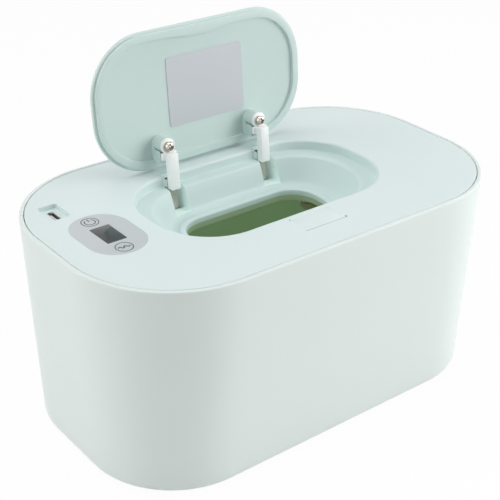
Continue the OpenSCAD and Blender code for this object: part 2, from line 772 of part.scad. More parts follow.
module touch_springs() {
    height = board_drop - skin_t;
    wire = 0.4;
    path = helix(2.4, (height - wire) / 4, 4);
    echo(str("touch spring least gap ", least_gap(path, wire)));
    color(bright) at_top() for (s = [-1, 1]) translate([panel_at - 0.7, s * icon_y, -board_drop + wire / 2])
        tube(path, wire / 2 * 0.98, [0, 0, 1]);
}

module usb_outline(grow) {
    r = usb_slot_w / 2;
    for (s = [-1, 1]) translate([0, s * (usb_slot_l / 2 - r)]) circle(r = r + grow, $fn = small_fn);
    square([2 * (r + grow), usb_slot_l - 2 * r], center = true);
}

module usb_socket() {
    color(bright) at_top() translate([usb_at, usb_y, -usb_board_drop]) {
        difference() {
            linear_extrude(usb_shell_h) usb_outline(0);
            translate([0, 0, 1]) linear_extrude(usb_shell_h) usb_outline(-usb_steel);
        }
        block([-0.35, -3.35, 0.5], [0.35, 3.35, usb_shell_h - 1]);
    }
}

module usb_board() {
    color(board_green) at_top() difference() {
        block([usb_at - 4.2, usb_y - 5.6, -usb_board_drop - usb_board_t],
              [usb_at + 12.8, usb_y + 5.6, -usb_board_drop]);
        for (p = usb_screw_at)
            post(p, small_shank_r + 0.2, usb_board_drop - cut, usb_board_drop + usb_board_t + cut);
    }
}

module board_screws() {
    color(steel) at_top() {
        for (p = board_screw_at) screw_up(p, small_shank_r, 5.8, small_head_r, small_head_h, board_drop + board_t);
        for (p = usb_screw_at)
            screw_up(p, small_shank_r, 5.4, small_head_r, small_head_h, usb_board_drop + usb_board_t);
        for (p = retainer_screw_at)
            screw_up(p, small_shank_r, 5.8, small_head_r, small_head_h, latch_bottom + 0.1 + retainer_t);
    }
}

lead_r = 0.6;
// From the USB board's lower face to the plug on the control board
supply_route = [[usb_at + 5.6, usb_y - 3.4, -usb_board_drop - usb_board_t - lead_r],
    [usb_at + 6.2, usb_y - 6.2, -14.1], [usb_at + 9, usb_y - 10.3, -15], [panel_at + 3.6, 18, -15.1],
    [panel_at + 5.4, 14.5, -14.8], [panel_at + 6, 13, -board_drop - board_t - plug_h - lead_r]];
// From the other plug on the control board, under the board and down through the hole in the closing plate
heater_route = [[panel_at + 7, -14, -board_drop - board_t - plug_h - lead_r], [panel_at + 10, -12, -15.5],
    [panel_at + 17, -4, -17], [panel_at + 18, 12, -17.4], [panel_at + 17, 24, -17.6],
    [lead_hole[0], lead_hole[1] - 0.6, -19], [lead_hole[0], lead_hole[1], -base_drop - 1],
    [lead_hole[0], lead_hole[1], -film_drop + lead_r * 0.2]];

module leads(route, count) {
    for (k = [0:count - 1]) translate([k * 1.7 * lead_r * 2, 0, 0] - [(count - 1) * 1.7 * lead_r, 0, 0])
        tube(route, lead_r, unit([1, 0.35, 0.1]), 8);
}

module supply_leads() {
    color(red_wire) at_top() leads(supply_route, 2);
}

module heater_leads() {
    color([0.85, 0.85, 0.82]) at_top() leads(heater_route, 2);
}

// ---------------------------------------------------------------- release button and latch

module release_button() {
    x0 = button_x - button_l / 2 + button_gap;
    x1 = button_x + button_l / 2 - button_gap;
    y0 = button_front_y + button_gap;
    y1 = button_back_y - button_gap;
    thick_y1 = button_back_y - overhang;
    color(mint) at_top() {
        block([x0, y0, -cap_thin], [x1, y1, 0]);
        block([x0, y0, -cap_t], [x1, thick_y1, -cap_thin]);
        block([x0 - button_flange, y0 - button_flange, -cap_t - button_flange_t],
              [x1 + button_flange, thick_y1, -cap_t]);
        translate([button_x - stem_l / 2, 0, 0]) rotate([90, 0, 90]) linear_extrude(stem_l) polygon([
            [stem_back_y, -cap_t], [stem_front_y, -cap_t], [stem_front_y, -wedge_drop],
            [stem_front_y + wedge_h, -wedge_drop - wedge_h], [stem_back_y, -wedge_drop - wedge_h]]);
    }
}

module latch_bolt() {
    half = guide_x - latch_side_gap;
    wedge_y = stem_front_y - wedge_gap;   // where the latch's 45 degree face meets the drop wedge_drop
    window_back_y = stem_back_y + latch_travel + 0.3;
    nose_tip_y = pocket_front_y + nose_reach;
    color(white) at_top() {
        difference() {
            block([button_x - half, latch_front_y, -latch_bottom], [button_x + half, latch_back_y, -latch_top]);
            translate([button_x - stem_l / 2 - 0.2, 0, 0]) rotate([90, 0, 90]) linear_extrude(stem_l + 0.4) polygon([
                [window_back_y, -latch_top + cut],
                [wedge_y + latch_top - cut - wedge_drop, -latch_top + cut],
                [wedge_y + latch_bottom + cut - wedge_drop, -latch_bottom - cut],
                [window_back_y, -latch_bottom - cut]]);
        }
        block([button_x - nose_l / 2, riser_back_y - riser_t, -latch_top - join],
              [button_x + nose_l / 2, riser_back_y, -nose_top]);
        block([button_x - nose_l / 2, riser_back_y - riser_t, -nose_top - nose_t],
              [button_x + nose_l / 2, nose_tip_y, -nose_top]);
    }
}

module latch_retainer() {
    reach = guide_x + 7;
    color(white) at_top() difference() {
        block([button_x - reach, guide_front_y - guide_t, -latch_bottom - 0.1 - retainer_t],
              [button_x + reach, tray_front_y, -latch_bottom - 0.1]);
        for (p = retainer_screw_at)
            post(p, small_shank_r + 0.2, latch_bottom - cut, latch_bottom + retainer_t + cut);
        block([button_x - stem_l / 2 - 0.4, stem_front_y - 1, -latch_bottom - retainer_t - cut],
              [button_x + stem_l / 2 + 0.4, stem_back_y + 1, -latch_bottom + cut]);
    }
}

module latch_spring() {
    wire = 0.4;
    span = latch_front_y - guide_front_y;
    path = helix(1, (span - wire) / 5, 5);
    echo(str("latch spring least gap ", least_gap(path, wire)));
    color(bright) at_top() translate([button_x, guide_front_y + wire / 2, -(latch_top + latch_bottom) / 2])
        rotate([-90, 0, 0]) tube(path, wire / 2 * 0.98, [0, 0, 1]);
}

// ---------------------------------------------------------------- hinge

module hinge_pins() {
    color(bright) at_top() for (x = [-arm_x, arm_x]) translate([x - pin_l / 2, hinge_y, -hinge_drop])
        rotate([0, 90, 0]) cylinder(r = pin_d / 2, h = pin_l, $fn = small_fn);
}

// The spring's path about +Z: a bent leg that bears under the skin, the coil, and a leg under the arm's web
module hinge_springs() {
    leg_a = 290;   // where both legs leave the coil
    coil = [for (p = helix(torsion_r, torsion_pitch, torsion_turns)) [
        p[0] * cos(leg_a) + p[1] * sin(leg_a), p[0] * sin(leg_a) - p[1] * cos(leg_a), p[2]]];
    last = coil[len(coil) - 1];
    path = concat([[6.4, 2.1, 0], [3.4, -0.75, 0]], coil, [last + [6 * sin(leg_a), -6 * cos(leg_a), 1.6]]);
    echo(str("hinge spring least gap ", least_gap(path, torsion_wire)));
    color(bright) at_top() for (s = [-1, 1]) translate([s * arm_x, hinge_y, -hinge_drop]) mirror([s < 0 ? 1 : 0, 0, 0])
        translate([-lug_x + torsion_wire / 2 + 0.1, 0, 0]) rotate([90, 0, 90]) tube(path, torsion_wire / 2, [0, 0, 1]);
}

// Side view of the arm without its eye, as [y, -drop]
module arm_side_view() {
    polygon([[screw_y, -pedestal_drop], [screw_y + 3.3, -pedestal_drop], [screw_y + 5.1, -arm_back_drop],
        [hinge_y - 1.1, -arm_back_drop], [hinge_y - 1.3, -hinge_drop - 1.7], [hinge_y + 1.9, -hinge_drop - 1.1],
        [web_back_y, -arm_back_drop], [arm_tail_y, -arm_back_drop], [arm_tail_y, -arm_drop],
        [screw_y + 4.4, -arm_drop], [screw_y + arm_head_r + 0.05, -pedestal_drop - eye_t], [screw_y, -pedestal_drop - eye_t]]);
}

module hinge_arm(s) {
    color(steel) at_top_lid() difference() {
        union() {
            translate([s * arm_x - arm_w / 2, 0, 0]) rotate([90, 0, 90]) linear_extrude(arm_w) arm_side_view();
            post([s * arm_x, screw_y], eye_r, pedestal_drop, pedestal_drop + eye_t);
            // The hub reaches to one lug, and leaves room for the spring at the other
            translate([s * arm_x - (s > 0 ? arm_w / 2 : hub_long), hinge_y, -hinge_drop]) rotate([0, 90, 0])
                cylinder(r = hub_r, h = arm_w / 2 + hub_long, $fn = small_fn);
        }
        post([s * arm_x, screw_y], arm_shank_r + 0.2, pedestal_drop - cut, pedestal_drop + eye_t + cut);
        translate([s * arm_x - pin_l / 2, hinge_y, -hinge_drop]) rotate([0, 90, 0])
            cylinder(r = pin_d / 2 + pin_clearance, h = pin_l, $fn = small_fn);
    }
}

module at_top_lid() {
    lid_open() children();
}

module hinge_arm_left() {
    hinge_arm(-1);
}

module hinge_arm_right() {
    hinge_arm(1);
}

module arm_sleeve(s) {
    color(white) at_top_lid() difference() {
        union() {
            block([s * arm_x - sleeve_w / 2, sleeve_bar_y - join, -sleeve_drop],
                  [s * arm_x + sleeve_w / 2, sleeve_end_y, -arm_back_drop + sleeve_back]);
            block([s * arm_x - sleeve_w / 2, sleeve_foot_y, -sleeve_drop],
                  [s * arm_x + sleeve_w / 2, sleeve_bar_y, -pedestal_drop]);
            block([s * arm_x - sleeve_flange_w / 2, sleeve_foot_y, -pedestal_drop - sleeve_flange_t],
                  [s * arm_x + sleeve_flange_w / 2, sleeve_bar_y, -pedestal_drop]);
        }
        translate([s * arm_x - arm_w / 2 - 0.02, 0, 0]) rotate([90, 0, 90]) linear_extrude(arm_w + 0.04)
            arm_side_view();
        post([s * arm_x, screw_y], eye_r + 0.05, pedestal_drop - cut, pedestal_drop + eye_t + 0.02);
    }
}

module arm_sleeve_left() {
    arm_sleeve(-1);
}

module arm_sleeve_right() {
    arm_sleeve(1);
}

module arm_screws() {
    color(bright) at_top_lid() for (s = [-1, 1])
        screw_up([s * arm_x, screw_y], arm_shank_r, arm_screw_l, arm_head_r, arm_head_h, pedestal_drop + eye_t);
}

// ---------------------------------------------------------------- flip lid

module flip_lid() {
    edge_r = lid_t - swing_edge_r;
    lip_r = lid_corner_r - lip_inset;
    lens_r = (bulge_l * bulge_l / 4 + bulge_d * bulge_d) / (2 * bulge_d);
    lip_in_y = lid_y - lid_cy - lip_r + lip_t;
    catch_y = pocket_front_y + nose_reach + catch_gap;
    color(lid_mint) at_top_lid() difference() {
        union() {
            translate([0, lid_y, 0]) {
                sweep_round(lid_cx, lid_cy) {
                    polygon(concat([[0, 0]],
                        arc(lid_corner_r - edge_r, -edge_r, edge_r, 90, 0, 4),
                        arc(lid_corner_r - swing_edge_r, -lid_t + swing_edge_r, swing_edge_r, 0, -90),
                        [[0, -lid_t]]));
                    translate([lip_r - lip_t, -lip_drop]) square([lip_t, lip_h + join]);
                }
                block([-lid_cx, -lid_cy, -lid_t], [lid_cx, lid_cy, 0]);
            }
            // Finger bulge of the front lip
            translate([button_x, 0, -lip_drop]) linear_extrude(lip_h + join) intersection() {
                translate([0, lip_in_y + bulge_d - lens_r]) circle(r = lens_r, $fn = 180);
                translate([-bulge_l, lip_in_y - lip_t / 2]) square([2 * bulge_l, bulge_d + lip_t]);
            }
            // Catch on the front lip, which passes below the latch's nose
            block([button_x - 4.5, catch_y, -lip_drop], [button_x + 4.5, lip_in_y - lip_t / 2, -lip_drop + 0.8]);
            for (s = [-1, 1]) {
                post([s * arm_x, screw_y], boss_r, lid_t - join, pedestal_drop);
                difference() {
                    block([s * arm_x - pedestal_w / 2, pedestal_front_y, -pedestal_drop + block_step],
                          [s * arm_x + pedestal_w / 2, pedestal_back_y, -lid_t + join]);
                    post([s * arm_x, screw_y], boss_r + moat, pedestal_drop / 2, pedestal_drop + cut);
                }
            }
        }
        for (s = [-1, 1]) post([s * arm_x, screw_y], arm_shank_r + screw_fit, pedestal_drop - 5.6, pedestal_drop + cut);
    }
}

module lid_plate() {
    color(panel_grey) at_top_lid() translate([2.4, lid_y - 1.75, 0])
        block([-plate_l / 2, -plate_w / 2, -lid_t - plate_t], [plate_l / 2, plate_w / 2, -lid_t]);
}

tub_shell();
rubber_feet();
top_cover();
cover_base();
cover_screws();
cover_seal();
insulation_pad();
heating_film();
heater_plate();
heater_screws();
thermal_cutout();
thermistor();
control_board();
display_module();
display_lens();
control_panel();
touch_springs();
usb_socket();
usb_board();
board_screws();
supply_leads();
heater_leads();
latch_retainer();
latch_spring();
hinge_pins();
hinge_springs();
release_button();
latch_bolt();
flip_lid();
lid_plate();
hinge_arm_left();
hinge_arm_right();
arm_sleeve_left();
arm_sleeve_right();
arm_screws();
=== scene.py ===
# %% [markdown]
# # A baby wipe warmer with a flip lid
#
# The real object is a deep mint tub with a flush cover. The cover holds a heated bowl with a dispensing
# opening, a sprung lid on two slim arms, a touch panel and a USB socket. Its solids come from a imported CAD
# model, which fixes every size and every moving body. This script builds the looks round that frame:
# new meshes where an edge has to be rounded, and a node material on everything that shows.

import json
from math import cos, pi, radians, sin

import bmesh
import bpy
from mathutils import Matrix, Vector

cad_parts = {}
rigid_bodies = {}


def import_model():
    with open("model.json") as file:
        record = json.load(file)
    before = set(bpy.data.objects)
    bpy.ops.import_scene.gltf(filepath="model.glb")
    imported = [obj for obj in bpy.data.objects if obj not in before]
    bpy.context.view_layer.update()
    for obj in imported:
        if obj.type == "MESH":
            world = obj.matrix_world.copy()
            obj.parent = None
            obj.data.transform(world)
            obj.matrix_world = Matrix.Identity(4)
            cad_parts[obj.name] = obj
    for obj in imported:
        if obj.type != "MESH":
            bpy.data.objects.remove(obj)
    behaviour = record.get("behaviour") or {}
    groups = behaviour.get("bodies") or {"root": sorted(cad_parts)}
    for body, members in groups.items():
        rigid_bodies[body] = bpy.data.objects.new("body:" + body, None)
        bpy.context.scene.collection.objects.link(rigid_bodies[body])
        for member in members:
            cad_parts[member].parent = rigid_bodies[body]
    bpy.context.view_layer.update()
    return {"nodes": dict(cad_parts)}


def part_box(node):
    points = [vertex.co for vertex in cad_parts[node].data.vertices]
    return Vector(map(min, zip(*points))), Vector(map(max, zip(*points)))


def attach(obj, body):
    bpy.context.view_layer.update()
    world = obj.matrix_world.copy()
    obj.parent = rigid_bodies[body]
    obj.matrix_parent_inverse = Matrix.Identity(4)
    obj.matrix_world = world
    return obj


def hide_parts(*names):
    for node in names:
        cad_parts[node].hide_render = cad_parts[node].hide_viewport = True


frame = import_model()

# %% [markdown]
# ## Units and the places that the pieces share
#
# The part is drawn in millimetres, and Blender works in metres, so one factor turns one into the other.
# Many pieces are placed by their drop: their depth below the flush top surface. The lid is drawn as it
# lies when it is shut, where its faces are level, and one matrix then swings it to its open rest pose.

# %% Shared places
MM = 0.001
TOP = 104.5  # height of the flush top surface above the table
HINGE_Y, HINGE_DROP, OPEN_ANGLE = 38.9, 4.7, 95.4
ARM_X = 26.9  # the arms' slots lie this far left and right of the middle
LID_Y = 0.35  # middle of the lid, of its pocket and of the bowl
PANEL_X = -82
BUTTON_X = -0.7
USB_X, USB_Y = -90.35, 31.85

pin = Vector((0, HINGE_Y, TOP - HINGE_DROP)) * MM
LID_OPEN = Matrix.Translation(pin) @ Matrix.Rotation(-radians(OPEN_ANGLE), 4, "X") @ Matrix.Translation(-pin)


def swing_open(bm):
    bmesh.ops.transform(bm, matrix=LID_OPEN, verts=bm.verts)


def place_object(name, data):
    obj = bpy.data.objects.new(name, data)
    bpy.context.scene.collection.objects.link(obj)
    return obj


print("the lid's pins lie at", [round(v, 4) for v in pin])

# %% [markdown]
# ## Camera
#
# The photograph's perspective was solved from the tub's edges: it gave the camera's place, its direction,
# a roll of about half a degree and a lens of 84 mm. The camera's axes are written into its matrix as they
# are, because Euler angles would hide the small roll.

# %% Camera
azimuth, elevation, roll = radians(-38.024), radians(28.685), radians(0.5566)
back = Vector((sin(azimuth) * cos(elevation), -cos(azimuth) * cos(elevation), sin(elevation)))
right = Vector((cos(azimuth), sin(azimuth), 0))
up = back.cross(right)
right, up = cos(roll) * right + sin(roll) * up, cos(roll) * up - sin(roll) * right

camera = place_object("camera", bpy.data.cameras.new("camera"))
camera.data.lens = 83.91
camera.data.sensor_width = 36
camera_place = Matrix.Translation((-0.304435, -0.382666, 0.337239))
camera.matrix_world = camera_place @ Matrix((right, up, back)).transposed().to_4x4()
bpy.context.scene.camera = camera
bpy.context.scene.view_settings.view_transform = "Standard"
print("lens", round(camera.data.lens, 2), "mm")

# %% [markdown]
# ## Writing shaders as sums
#
# A node material soon becomes a heap of links. Here a socket is wrapped in a small class, so that
# `1 - mask * 0.3` adds its Math nodes by itself. Every other node comes from one method, which sets the
# node's own settings first and then its sockets.


# %% Shader helper
class Wire:
    """An output socket that can be added to, taken from and multiplied."""

    def __init__(self, board, socket):
        self.board, self.socket = board, socket

    def math(self, kind, a, b):
        return self.board.add("Math", {"operation": kind}, {0: a, 1: b})

    def __add__(self, other):
        return self.math("ADD", self, other)

    __radd__ = __add__

    def __sub__(self, other):
        return self.math("SUBTRACT", self, other)

    def __rsub__(self, other):
        return self.math("SUBTRACT", other, self)

    def __mul__(self, other):
        return self.math("MULTIPLY", self, other)

    __rmul__ = __mul__


class Board:
    """The node tree of a material or a world. A name makes a new material."""

    def __init__(self, holder):
        self.holder = bpy.data.materials.new(holder) if isinstance(holder, str) else holder
        self.holder.use_nodes = True
        self.tree = self.holder.node_tree
        self.tree.nodes.clear()

    def add(self, kind, settings=None, sockets=None, out=0):
        """Adds one node: its kind, its settings, its sockets, and which output to hand back."""
        node = self.tree.nodes.new("ShaderNode" + kind)
        for key, value in (settings or {}).items():
            if key == "stops":
                for stop, (place, colour) in zip(node.color_ramp.elements, value):
                    stop.position, stop.color = place, colour
            else:
                setattr(node, key, value)
        for key, value in (sockets or {}).items():
            if isinstance(value, Wire):
                self.tree.links.new(value.socket, node.inputs[key])
            else:
                node.inputs[key].default_value = value
        return Wire(self, node.outputs[out]) if node.outputs else None

    def noise(self, scale, detail=2.0, stretch=(1, 1, 1)):
        place = self.add("TexCoord", out="Object")
        place = self.add("Mapping", sockets={"Vector": place, "Scale": stretch})
        return self.add("TexNoise", sockets={"Vector": place, "Scale": scale, "Detail": detail}, out="Fac")

    def mix(self, share, a, b):
        # sockets 6 and 7 of the Mix node are its colours, and output 2 is their mix
        return self.add("Mix", {"data_type": "RGBA"}, {0: share, 6: a, 7: b}, out=2)

    def finish(self, shader, output="OutputMaterial"):
        self.add(output, sockets={"Surface": shader})
        return self.holder


print("shader helper ready")

# %% [markdown]
# ## Moulded plastic
#
# The tub, the cover and the lid are injection moulded in one pale mint, with the very fine satin grain of an
# etched mould. A flat colour looks like paper, so three layers of noise do three jobs: a slow one shifts the
# colour by about one part in a hundred, a middle one varies the gloss as fingers do, and a fine one is the
# grain, which only bends the light through a Bump node.
#
# Two things are painted in with the place. The colour turns deeper with the depth below the flat top: painted
# shade, as shade falls in a hollow. And an inner side can have a darker green and a weak glow of its own:
# painted shade and painted light, in the green of the shade inside the tub.


# %% Moulded plastic
# painted shade in hollows: the depth in mm at which its full colour is reached
HOLLOW_SHADE_DEPTH = 5.0  # the depth in mm at which the colour of a hollow is reached


def shade(colour, by):
    return (*(max(0.0, min(1.0, c * by)) for c in colour), 1)


def moulded(name, colour, gloss=0.42, grain=0.02, grain_scale=1400, drift=0.018, coat=0.0, hollow_shade=None,
            glow=None):
    """Satin plastic. The colour given for hollows is painted shade, reached with the depth below the top.
    glow is one emission colour of painted light, or a base colour of painted shade and an emission colour of
    painted light for the inner side.
    """
    board = Board(name)
    slow, touch, fine = board.noise(9, 3), board.noise(45, 2), board.noise(grain_scale, 2)
    tint = board.mix(slow, shade(colour, 1 - drift), shade(colour, 1 + drift))
    sockets = {"Roughness": gloss - 0.05 + touch * 0.1, "Coat Weight": coat}
    # painted shade: the colour turns deeper with the depth below the top surface
    if hollow_shade:
        place = board.add("TexCoord", out="Object")
        height = board.add("SeparateXYZ", sockets={"Vector": place}, out="Z")
        depth = board.add("Math", {"operation": "MULTIPLY", "use_clamp": True},
                          {0: TOP * MM - height, 1: 1 / (HOLLOW_SHADE_DEPTH * MM)})
        tint = board.mix(depth, tint, shade(hollow_shade, 1))
    # painted light: a weak emission stands in for light
    if glow:
        sockets["Emission Color"] = shade(glow[-1], 1)
        sockets["Emission Strength"] = 1.0
    # painted shade and painted light on an inner side: a darker green base and a green glow
    if glow and len(glow) > 1:
        inner = board.add("Attribute", {"attribute_name": "inner_side"}, out="Fac")
        tint = board.mix(inner, tint, shade(glow[0], 1))
        uneven = board.mix(slow, shade(glow[1], 0.7), shade(glow[1], 1.3))
        sockets["Emission Color"] = board.mix(inner, (0, 0, 0, 1), uneven)
    sockets["Base Color"] = tint
    sockets["Normal"] = board.add("Bump", sockets={"Strength": grain, "Distance": 0.0004, "Height": fine},
                                  out="Normal")
    return board.finish(board.add("BsdfPrincipled", sockets=sockets))


print("plastic recipe ready")

# %% [markdown]
# ## The plastics of this object
#
# Mint is painted in three shades here. The tub is the palest, as painted light on its lit walls, the cover a
# little bluer, and the lid, a separate moulding, a little greyer, as painted shade on its shaded underside.
# The slots' plastic is brighter with a weak glow, painted light in their shade. The arms' sleeves are white
# nylon with a weak glow of painted light, the plates inside the cover are plain white, and the panel and the
# label are printed films with a finer grain.

# %% Plastics
# painted shade and painted light: a darker green base and a weak green glow for inner sides in shade
SHADE_GREEN = ((0.46, 0.57, 0.43), (0.050, 0.076, 0.040))
# the tub's paler mint is painted light on its lit walls
tub_mint = moulded("tub_plastic", (0.785, 0.860, 0.835), glow=SHADE_GREEN)
# the cover's colour turns deeper in its hollows as painted shade, and its lip's lower half gets painted green
# shade and glow
mint = moulded("cover_plastic", (0.735, 0.835, 0.828), hollow_shade=(0.655, 0.790, 0.775),
               glow=((0.30, 0.36, 0.26), SHADE_GREEN[1]))
# the lid's greyer, darker mint is painted shade on its shaded underside
lid_mint_painted_shade = moulded("lid_plastic", (0.635, 0.765, 0.735))
# brighter base and a weak glow: painted light in the shaded slots
slot_mint_painted_light = moulded("slot_plastic", (0.74, 0.86, 0.835), glow=[(0.10, 0.135, 0.125)])
# a weak glow: painted light on the sleeves
sleeve_white = moulded("sleeve_plastic", (0.94, 0.95, 0.95), gloss=0.34, glow=[(0.06, 0.065, 0.065)])
plate_white = moulded("inner_plate_plastic", (0.74, 0.76, 0.75), gloss=0.5, grain=0.04)
panel_grey = moulded("panel_film", (0.565, 0.60, 0.61), gloss=0.3, grain=0.012, grain_scale=2200)
label_grey = moulded("label_film", (0.63, 0.65, 0.69), gloss=0.45, grain=0.02)
plastics = (tub_mint, mint, lid_mint_painted_shade, slot_mint_painted_light, sleeve_white, plate_white, panel_grey, label_grey)
print("plastics:", [m.name for m in plastics])

# %% [markdown]
# ## Metals, rubber and the dark parts
#
# Bent steel is brushed along its length, zinc plating is slightly cloudy, and chrome is nearly a mirror. All
# are the same recipe: full Metallic, with a noise stretched along one axis that varies the roughness. Another
# way would be an anisotropic shader, but at this size the stretched noise can't be told from it. Rubber and
# black plastic are rough and dark, with a stronger grain.


# %% Metals and dark parts
def metal(name, colour, rough, streak=(1, 1, 1), scale=900, spread=0.12):
    board = Board(name)
    brushed, cloud = board.noise(scale, 3, streak), board.noise(60, 3)
    tint = board.mix(cloud, shade(colour, 0.9), shade(colour, 1.06))
    bump = board.add("Bump", sockets={"Strength": 0.05, "Distance": 0.0002, "Height": brushed}, out="Normal")
    shader = board.add("BsdfPrincipled", sockets={
        "Base Color": tint, "Metallic": 1.0, "Roughness": rough + (brushed - 0.5) * spread, "Normal": bump})
    return board.finish(shader)


arm_steel = metal("arm_steel", (0.54, 0.51, 0.45), 0.42, (1, 1, 0.08))
zinc_steel = metal("zinc_steel", (0.62, 0.61, 0.58), 0.32)
bright_chrome = metal("bright_chrome", (0.50, 0.47, 0.44), 0.14, spread=0.04)
rolled_aluminium = metal("rolled_aluminium", (0.78, 0.78, 0.79), 0.3, (0.05, 1, 1))
brown_metal = metal("brown_metal", (0.66, 0.55, 0.48), 0.35)
rubber = moulded("foot_rubber", (0.05, 0.05, 0.052), gloss=0.75, grain=0.25, grain_scale=700)
silicone = moulded("seal_silicone", (0.68, 0.73, 0.72), gloss=0.6, grain=0.1, grain_scale=500)
black_plastic = moulded("black_plastic", (0.025, 0.025, 0.027), gloss=0.5, grain=0.1)
red_sheath = moulded("red_lead_sheath", (0.42, 0.02, 0.02), gloss=0.4)
pale_sheath = moulded("pale_lead_sheath", (0.70, 0.70, 0.68), gloss=0.4)
ink = moulded("printed_ink", (0.09, 0.10, 0.11), gloss=0.4)
print("metals and dark parts ready")

# %% [markdown]
# ## Foam, film, circuit board and lens
#
# Foam shows cut cells, which a Voronoi texture gives. The heating film is amber with darker tracks, a wave
# texture run through a ramp. A circuit board is green lacquer over faint copper lines. The lens over the
# display is smoked plastic: nearly black and very smooth, with a thin clear coat that mirrors the pale room.


# %% Foam, film, board and lens
def cut_foam():
    board = Board("cut_foam")
    place = board.add("TexCoord", out="Object")
    cells = board.add("TexVoronoi", sockets={"Vector": place, "Scale": 900.0}, out="Distance")
    tint = board.mix(cells, (0.76, 0.76, 0.72, 1), (0.60, 0.60, 0.56, 1))
    bump = board.add("Bump", sockets={"Strength": 0.5, "Distance": 0.0005, "Height": cells}, out="Normal")
    return board.finish(board.add("BsdfPrincipled",
                                  sockets={"Base Color": tint, "Roughness": 0.9, "Normal": bump}))


def tracked(name, ground, track, scale, rough):
    board = Board(name)
    place = board.add("TexCoord", out="Object")
    wave = board.add("TexWave", {"bands_direction": "Y"},
                     {"Vector": place, "Scale": scale, "Distortion": 0.0}, out="Fac")
    lines = board.add("ValToRGB", {"stops": ((0.42, (0, 0, 0, 1)), (0.5, (1, 1, 1, 1)))}, {"Fac": wave})
    tint = board.mix(lines, (*ground, 1), (*track, 1))
    return board.finish(board.add("BsdfPrincipled", sockets={"Base Color": tint, "Roughness": rough}))


foam = cut_foam()
amber_film = tracked("amber_film", (0.52, 0.24, 0.05), (0.30, 0.14, 0.04), 60, 0.3)
green_board = tracked("green_board", (0.015, 0.12, 0.06), (0.03, 0.20, 0.10), 120, 0.35)
smoked_lens = moulded("smoked_lens", (0.035, 0.042, 0.040), gloss=0.16, grain=0.004, drift=0.1, coat=0.1)
print("foam, film, board and lens ready")

# %% [markdown]
# ## One ring, carried along a profile
#
# Almost every form here is a rounded rectangle that changes size as it goes up or down: the tub, the cover
# with its bowl, the lid. So one helper makes a closed ring from a square whose corners are bevelled, gives
# each vertex a note of its own spot on the square, and then extrudes the ring from place to place. A place
# is half length, half width, corner radius, middle in Y, and drop, all in millimetres. The places whose
# numbers are in `inner` are marked as a side in shade, which the plastic's shader paints with painted shade
# and painted light: a darker green and a weak green glow.


# %% Ring helper
CORNER_STEPS = 20


def ring_form(places, closed, side_cuts=7, shift=None, inner=()):
    """A bmesh of rounded rectangles extruded through the places, closed on itself or capped."""
    bm = bmesh.new()
    bmesh.ops.create_grid(bm, x_segments=1, y_segments=1, size=2)
    bmesh.ops.bevel(bm, geom=bm.verts[:], offset=1, segments=CORNER_STEPS, profile=0.5, affect="VERTICES",
                    material=-1)
    sides = [e for e in bm.edges if e.calc_length() > 1.9]
    bmesh.ops.subdivide_edges(bm, edges=sides, cuts=side_cuts)
    bmesh.ops.delete(bm, geom=bm.faces[:], context="FACES_ONLY")
    spot = bm.verts.layers.float_vector.new("spot")
    # marks the places that get painted green shade and a painted green glow
    inner_side = bm.verts.layers.float.new("inner_side")
    for vert in bm.verts:
        vert[spot] = vert.co

    def settle(verts, number):
        place = places[number]
        half_x, half_y, r, mid_y, drop = place
        for vert in verts:
            vert[inner_side] = float(number in inner)
            x, y = vert[spot].x, vert[spot].y
            corner_x, corner_y = max(-1, min(1, x)), max(-1, min(1, y))
            vert.co = Vector((
                corner_x * (half_x - r) + (x - corner_x) * r,
                mid_y + corner_y * (half_y - r) + (y - corner_y) * r,
                TOP - drop)) * MM
            if shift:
                vert.co += Vector(shift(vert.co / MM, place)) * MM

    first = ring = bm.edges[:]
    settle(bm.verts, 0)
    for number in range(1, len(places)):
        made = bmesh.ops.extrude_edge_only(bm, edges=ring)["geom"]
        verts = {g for g in made if isinstance(g, bmesh.types.BMVert)}
        ring = [g for g in made if isinstance(g, bmesh.types.BMEdge) and verts.issuperset(g.verts)]
        settle(verts, number)
    if closed:
        bmesh.ops.bridge_loops(bm, edges=first + ring)
    else:
        bmesh.ops.holes_fill(bm, edges=first + ring, sides=0)
    return bm


print("ring helper ready")

# %% [markdown]
# ## Writing a profile as a list of places
#
# Three small helpers keep the profiles short. `outline` gives places that share their corner centres, as the
# walls of a moulding do. `soften` rounds a corner of the profile with a quadratic curve, and `blend_places`
# finds a place part of the way between two others.


# %% Profile helpers
def outline(corner_x, corner_y, mid_y=0.0):
    """Places round fixed corner centres, by radius and drop."""
    return lambda r, drop: (corner_x + r, corner_y + r, r, mid_y, drop)


def soften(a, b, c, steps=5):
    """Places that round the corner b on the way from a to c."""
    return [tuple((1 - t) ** 2 * p + 2 * t * (1 - t) * q + t * t * r for p, q, r in zip(a, b, c))
            for t in [k / steps for k in range(steps + 1)]]


def blend_places(a, b, share):
    return tuple(p + (q - p) * share for p, q in zip(a, b))


print("profile helpers ready")


# %% Finishing helper
STAYS_SHARP = 32  # degrees between two faces, above which their edge isn't smoothed


def smooth_by_angle(mesh):
    mesh.polygons.foreach_set("use_smooth", [True] * len(mesh.polygons))
    mesh.set_sharp_from_angle(angle=radians(STAYS_SHARP))


def mesh_from(bm, name):
    mesh = bpy.data.meshes.new(name)
    bm.to_mesh(mesh)
    bm.free()
    return mesh


